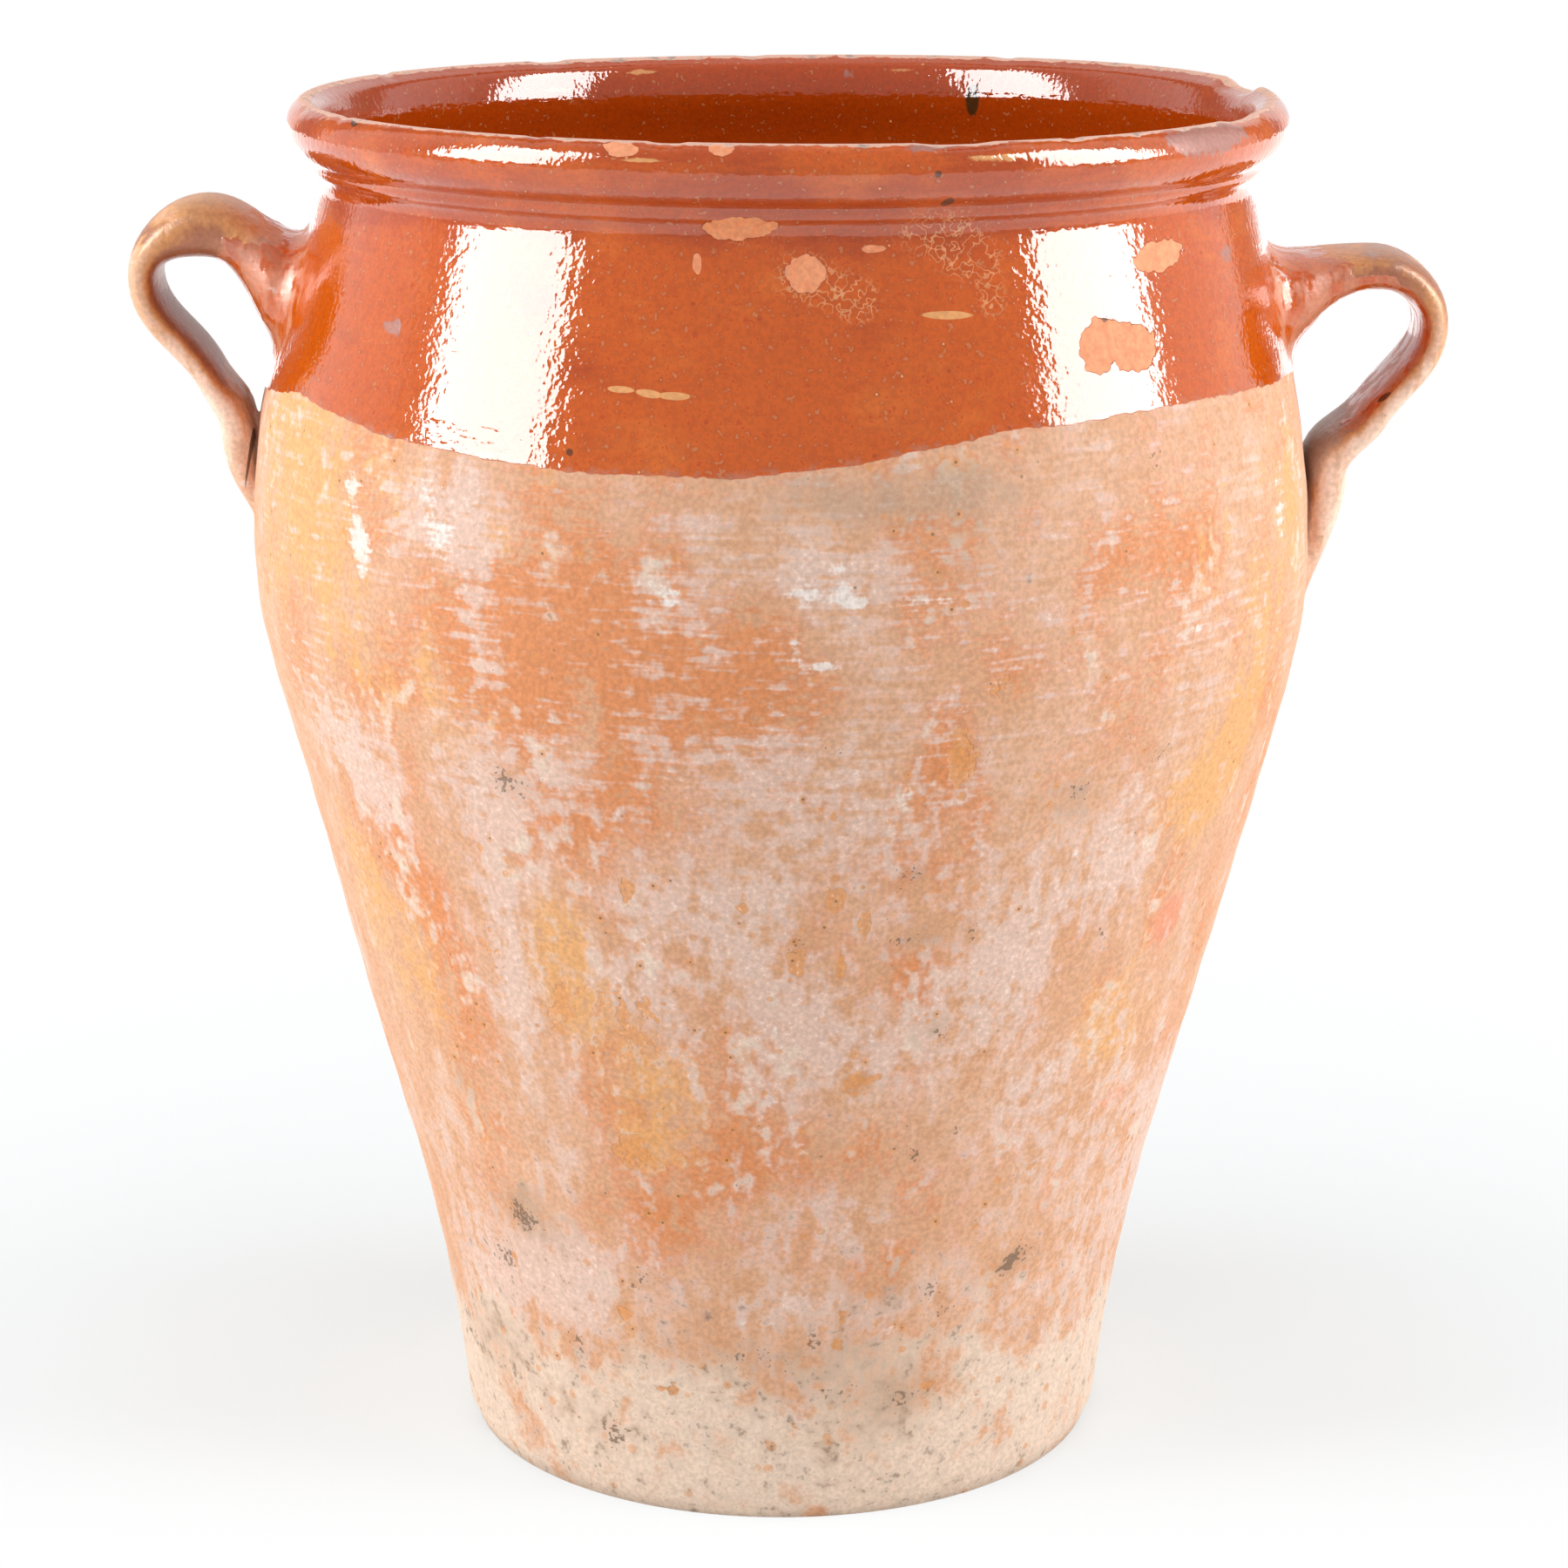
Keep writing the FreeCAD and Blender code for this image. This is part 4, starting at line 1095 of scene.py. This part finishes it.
# %% The glaze
def lead_glaze(g, dots, grit):
    """Colour and relief in millimetres of the glaze."""
    rise = g.kept("rise")
    mottle = g.noise(0.027)
    lines = g.noise(0.0024, 2, 0.6, g.stretched(9, 1))
    small = g.noise(0.0025, 1)
    colour = g.mix(g.step(g.sum((mottle, 0.7), (lines, 0.3)), 0.50, 0.68), GLAZE, GLAZE_LIGHT)
    # The inside share below darkens the glaze as painted shade; the height steps make it darker from
    # under the bead upwards.
    deep = g.sum((g.noise(0.0335), 0.8), (lines, 0.35),
                 g.step(rise, 0.366, 0.379, 0.0, 0.20), g.step(rise, 0.386, 0.392, 0.0, -0.06),
                 (g.kept("inside"), 0.26))
    colour = g.mix(g.step(deep, 0.60, 0.86, 0.0, 0.85), colour, GLAZE_DEEP_AND_SHADE)
    speckle = g.times(g.step(dots, 0.13, 0.08), g.step(mottle, 0.36, 0.48))
    colour = g.mix(g.step(small, 0.45, 0.70, 0.0, 0.35), colour, GLAZE_DEEP_AND_SHADE)
    pinholes = g.step(grit, 0.62, 0.72)
    colour = g.mix(g.times(g.most(speckle, pinholes), 0.70), colour, GLAZE_DEEP_AND_SHADE)
    dust = g.step(g.sum((grit, -1.0), (small, 0.6)), -0.03, 0.08, 0.0, 0.45)
    colour = g.mix(dust, colour, DUST)
    straw = g.times(g.step(dots, 0.075, 0.045), g.step(mottle, 0.52, 0.56))
    slip = g.sum(g.kept("slip"), (lines, 0.9), (small, 0.5))
    slip = g.step(slip, 1.26, 1.50)
    streak = g.step(g.sum(marks_of(g, STREAKS), (lines, 1.6)), 0.75, 1.05)
    slip = g.most(slip, streak)
    colour = g.mix(g.most(g.times(straw, 0.8), g.times(slip, 0.75)), colour, SLIP)

    webs = g.math("ABSOLUTE", g.sum(small, -0.5))
    crazed = g.step(g.sum(g.kept("crackle"), (mottle, 0.5), (small, 0.5)), 0.86, 1.20)
    crazed = g.times(crazed, g.step(webs, 0.040, 0.012))
    colour = g.mix(g.times(crazed, 0.55), colour, CRAZE)
    specks = g.step(g.sum(g.kept("specks"), (small, 2.2)), 2.05, 2.3)
    colour = g.mix(g.times(specks, 0.6), colour, CHALK)
    bruise = g.step(g.sum(g.kept("bruise"), (small, 0.7), (mottle, 0.4)), 0.95, 1.20)
    colour = g.mix(g.times(bruise, 0.75), colour, BRUISE)
    drip = g.step(g.sum(g.kept("drip"), (small, 0.4)), 0.55, 0.75)
    colour = g.mix(drip, colour, DRIP_GREEN)

    flaked = g.sum(marks_of(g, FLAKES), (small, 1.1))
    lip = g.step(flaked, 0.25, 0.50)
    flaked = g.step(flaked, 0.50, 0.58)
    colour = g.mix(g.times(lip, 0.35), colour, GLAZE_DEEP_AND_SHADE)
    colour = g.mix(flaked, colour, g.mix(g.step(small, 0.35, 0.65), PEEL, PEEL_PALE))
    relief = g.sum((lines, 0.10), (small, 0.13), (grit, 0.05), (flaked, -0.35))
    return colour, relief, flaked, bruise


# %% [markdown]
# Clay, film, glaze and worn clay are laid over one another by the distances that the mesh carries, in
# the order in which they came: first the clay, then what ran over it, then what wore it. Glaze is
# glass, so it is smooth and has a thick edge. Bare earthenware scatters the light and is rough.

# %% One finish
GLAZE_THICKNESS = 0.30      # mm
FILM_BROWN = (0.33, 0.105, 0.040, 1)
FILM_AMBER = (0.62, 0.26, 0.070, 1)
FILM_GREY = (0.46, 0.36, 0.32, 1)
WORN_CLAY = (0.72, 0.43, 0.32, 1)
WORN_GREY = (0.36, 0.27, 0.22, 1)
ROOT_BROWN = (0.60, 0.25, 0.14, 1)
GRAIN_DARK, GRAIN_LIGHT = (0.87, 0.86, 0.85, 1), (1.09, 1.09, 1.09, 1)
CLAY_ROUGH, FLAKE_ROUGH, FILM_ROUGH, BRUISE_ROUGH, WORN_ROUGH = 0.88, 0.80, 0.32, 0.35, 0.65
ROOT_ROUGH = 0.50
LEG_LEVELS = (0.352, 0.330)  # heights between which the bare straps turn from tan to pale


def jar_finish():
    """The whole finish of the jar."""
    material, output = new_material("earthenware")
    g = Graph(material.node_tree)
    dots = g.cells(0.0065)
    grit = g.noise(0.0014, 1)
    clay, clay_relief = bare_clay(g, dots, grit)
    glaze_colour, glaze_relief, flaked, bruise = lead_glaze(g, dots, grit)
    wander = g.noise(0.0043)
    broad = g.noise(0.0215, 1)
    # The two noises come to about 1.9, so that the edge lies on the line.
    over_line = g.sum(g.kept("glaze"), (wander, 1.8), (broad, 2.0), -1.9)
    glazed = g.step(over_line, -0.15, 0.15)

    runs = g.noise(0.005, 2, 0.6, g.stretched(1, 3))
    legs = g.step(g.sum(g.kept("rise"), (runs, 0.02)), *LEG_LEVELS)
    tan = g.mix(legs, HANDLE_TAN, HANDLE_PALE)
    tan = g.mix(g.step(runs, 0.40, 0.75, 0.0, 0.8), tan, clay)
    clay = g.mix(g.times(g.kept("strap"), 0.75), clay, tan)
    film = g.sum(g.kept("film"), (runs, 0.55), (wander, 0.25))
    film_share = g.step(film, 0.50, 0.88)
    pooled = g.mix(g.step(film, 0.80, 1.20), FILM_AMBER, FILM_BROWN)
    clay = g.mix(g.times(film_share, 0.9), clay, pooled)
    grey_share = g.step(g.sum(g.kept("greyed"), (runs, 0.5), (wander, 0.2)), 0.60, 0.95)
    clay = g.mix(g.times(grey_share, 0.75), clay, FILM_GREY)

    handled = g.times(g.kept("strap"), g.step(runs, 0.36, 0.58))
    glaze_colour = g.mix(g.times(handled, 0.7), glaze_colour, ROOT_BROWN)
    fringe = g.times(g.step(over_line, 0.0, 0.2), g.step(over_line, 2.6, 0.6),
                     g.step(wander, 0.46, 0.62))
    glaze_colour = g.mix(g.times(fringe, 0.5), glaze_colour, FRINGE)
    colour = g.mix(glazed, clay, glaze_colour)
    pits = g.step(g.sum(marks_of(g, PITS), (wander, 0.8)), 0.42, 0.80)
    colour = g.mix(g.times(pits, 0.85), colour, PIT_BLACK)

    grain = g.mix(g.step(grit, 0.25, 0.75), GRAIN_DARK, GRAIN_LIGHT)
    colour = g.mix(1.0, colour, grain, "MULTIPLY")

    nick = g.noise(0.0061)
    worn_by = g.sum(g.kept("worn"), (nick, 3.0), (wander, 1.6), -2.5)
    worn = g.step(worn_by, -0.15, 0.25)
    worn_clay = g.mix(g.step(nick, 0.56, 0.74), WORN_CLAY, WORN_GREY)
    colour = g.mix(g.times(worn, 0.92), colour, worn_clay)

    dull = g.step(broad, 0.35, 0.70, 0.035, 0.085)
    dull = g.blend(g.times(bruise, 0.7), dull, BRUISE_ROUGH)
    dull = g.blend(g.times(handled, 0.8), dull, ROOT_ROUGH)
    dull = g.blend(flaked, dull, FLAKE_ROUGH)
    bare = g.blend(g.times(g.most(film_share, grey_share), 0.85), CLAY_ROUGH, FILM_ROUGH)
    rough = g.blend(glazed, bare, dull)
    rough = g.blend(worn, rough, WORN_ROUGH)

    relief = g.blend(glazed, clay_relief, g.sum(glaze_relief, GLAZE_THICKNESS))
    relief = g.sum(relief, (worn, -0.25), g.times(worn, nick, 0.5))
    bump = g.add("Bump", {"Height": relief, "Distance": MM, "Strength": 1.0})
    skin = g.add("BsdfPrincipled", {"Base Color": colour, "Roughness": rough, "Normal": bump,
                                    "IOR": 1.5}, output="BSDF")
    g.tree.links.new(skin, output.inputs["Surface"])
    print("finish:", len(g.tree.nodes), "nodes")
    return material


pot.data.materials.clear()
pot.data.materials.append(jar_finish())
pot.data.polygons.foreach_set("material_index", [0] * len(pot.data.polygons))
pot.data.polygons.foreach_set("use_smooth", [True] * len(pot.data.polygons))

# %% [markdown]
# The studio has a white floor. Close to the jar the camera sees it as it is lit, with the soft shadow.
# Further off it fades to plain white. The glaze shows it brighter, as a lit white sweep looks.

# %% The floor
FLOOR_SIZE = 12.0
FLOOR_WHITE = (0.82, 0.875, 0.90, 1)
FLOOR_SHADE = 0.72          # how much of its real shading the camera sees beside the jar
FLOOR_SHEEN = 2.2           # how bright the lit floor looks in the glaze
SHADE_FROM, SHADE_TO = 0.10, 0.52    # distance from the axis over which that fades to plain white
SHADE_FRONT = (-0.13, 0.0)  # and from the viewer's side of the jar to its middle


def floor_finish():
    """White that keeps the soft shadow of the jar and is plain white further off."""
    material, output = new_material("floor_white")
    g = Graph(material.node_tree)
    diffuse = g.add("BsdfDiffuse", {"Color": FLOOR_WHITE})
    rays = g.tree.nodes.new("ShaderNodeLightPath").outputs
    seen = g.most(rays["Is Camera Ray"], rays["Is Glossy Ray"])
    glow = g.add("Emission", {"Strength": g.blend(rays["Is Glossy Ray"], 1.0, FLOOR_SHEEN)})
    off = g.add("VectorMath", {0: g.place}, output="Value", operation="LENGTH")
    back = g.add("SeparateXYZ", {0: g.place}, output="Y")
    shade = g.times(g.step(off, SHADE_FROM, SHADE_TO, FLOOR_SHADE, 0.0), g.step(back, *SHADE_FRONT))
    plain = g.less(shade)
    surface = g.add("MixShader", {0: g.times(seen, plain), 1: diffuse, 2: glow})
    g.tree.links.new(surface, output.inputs["Surface"])
    return material


bm = bmesh.new()
bmesh.ops.create_grid(bm, x_segments=1, y_segments=1, size=FLOOR_SIZE / 2)
floor = as_object(bm, "floor")
floor.data.materials.append(floor_finish())

# %% [markdown]
# Two tall softboxes stand one each side. Cards that only reflections can see stand near them, because
# a glaze shows a softbox far brighter than it lights the clay.

# %% The softboxes and what reflections see of them
SOFTBOXES = {
    "left": {"place": (-1.35, -0.30, 0.85), "size": (1.10, 1.30), "watts": 17.5,
             "card": (-1.20, -0.57, 1.16), "card_size": (0.79, 1.35)},
    "right": {"place": (1.35, -0.22, 0.85), "size": (1.10, 1.30), "watts": 16.5,
              "card": (1.20, -0.38, 1.16), "card_size": (0.70, 1.35)},
}
JAR_MIDDLE = (0, 0, 0.25)
CARD_GLOW = 21.0


def glow_finish(name, strength):
    """A surface that only shines."""
    material, output = new_material(name)
    glow = material.node_tree.nodes.new("ShaderNodeEmission")
    glow.inputs["Strength"].default_value = strength
    material.node_tree.links.new(glow.outputs[0], output.inputs["Surface"])
    return material


def upright_card(name, place, size):
    """A rectangle that stands beside the jar and faces along X."""
    bm = bmesh.new()
    bmesh.ops.create_grid(bm, x_segments=1, y_segments=1, size=0.5)
    bmesh.ops.scale(bm, vec=(size[1], size[0], 1), verts=bm.verts)
    stand = Matrix.Rotation(math.pi / 2, 4, "Y")
    bmesh.ops.transform(bm, matrix=Matrix.Translation(place) @ stand, verts=bm.verts)
    return as_object(bm, name)


for side, box in SOFTBOXES.items():
    lamp = bpy.data.lights.new("softbox_" + side, "AREA")
    lamp.shape = "RECTANGLE"
    lamp.size, lamp.size_y = box["size"]
    lamp.energy = box["watts"]
    stand = bpy.data.objects.new("softbox_" + side, lamp)
    stand.location = box["place"]
    aim = Vector(JAR_MIDDLE) - Vector(box["place"])
    stand.rotation_euler = aim.to_track_quat("-Z", "Y").to_euler()
    stand.visible_glossy = False
    bpy.context.scene.collection.objects.link(stand)
    card = upright_card("card_" + side, box["card"], box["card_size"])
    card.data.materials.append(glow_finish("card_glow_" + side, CARD_GLOW))
    card.visible_camera = False
    card.visible_diffuse = False
    card.visible_shadow = False
print("softboxes:", {side: box["watts"] for side, box in SOFTBOXES.items()}, "watts")

# %% [markdown]
# White walls stand round the studio. In the glaze they show as bands, darker behind the jar's sides,
# where the photograph has dull red edges between paler stretches.

# %% The white room around
ROOM_LIGHT = 0.60           # on the clay
ROOM_SEEN = 1.0             # behind the jar
ROOM_FRONT = 0.80           # in reflections, round the camera
ROOM_BANDS = [  # degrees round from the camera over which the reflected room changes, and by how much
    (90, 100, 0.55), (128, 134, -1.05), (147, 153, 0.80),
]


def room_white():
    """White all round. Reflections see it in bands: the walls, the dark gaps and the bright backdrop."""
    world = bpy.data.worlds.new("white_room")
    bpy.context.scene.world = world
    world.use_nodes = True
    g = Graph(world.node_tree, "Generated")
    rays = g.tree.nodes.new("ShaderNodeLightPath").outputs
    parts = g.tree.nodes.new("ShaderNodeSeparateXYZ")
    g.tree.links.new(g.place, parts.inputs[0])
    towards = g.math("MULTIPLY", parts.outputs["Y"], -1.0)
    turn = g.math("ABSOLUTE", g.math("ARCTAN2", parts.outputs["X"], towards))
    bands = [(g.step(turn, math.radians(low), math.radians(high)), change)
             for low, high, change in ROOM_BANDS]
    level = g.blend(rays["Is Camera Ray"], ROOM_LIGHT, ROOM_SEEN)
    level = g.blend(rays["Is Glossy Ray"], level, g.sum(ROOM_FRONT, *bands))
    g.tree.links.new(level, g.tree.nodes["Background"].inputs["Strength"])
    g.tree.nodes["Background"].inputs["Color"].default_value = (1, 1, 1, 1)


room_white()
print("room:", len(ROOM_BANDS), "changes of the reflected walls")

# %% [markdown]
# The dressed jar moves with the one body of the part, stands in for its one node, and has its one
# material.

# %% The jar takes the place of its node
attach(pot, "root")
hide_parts("jar")
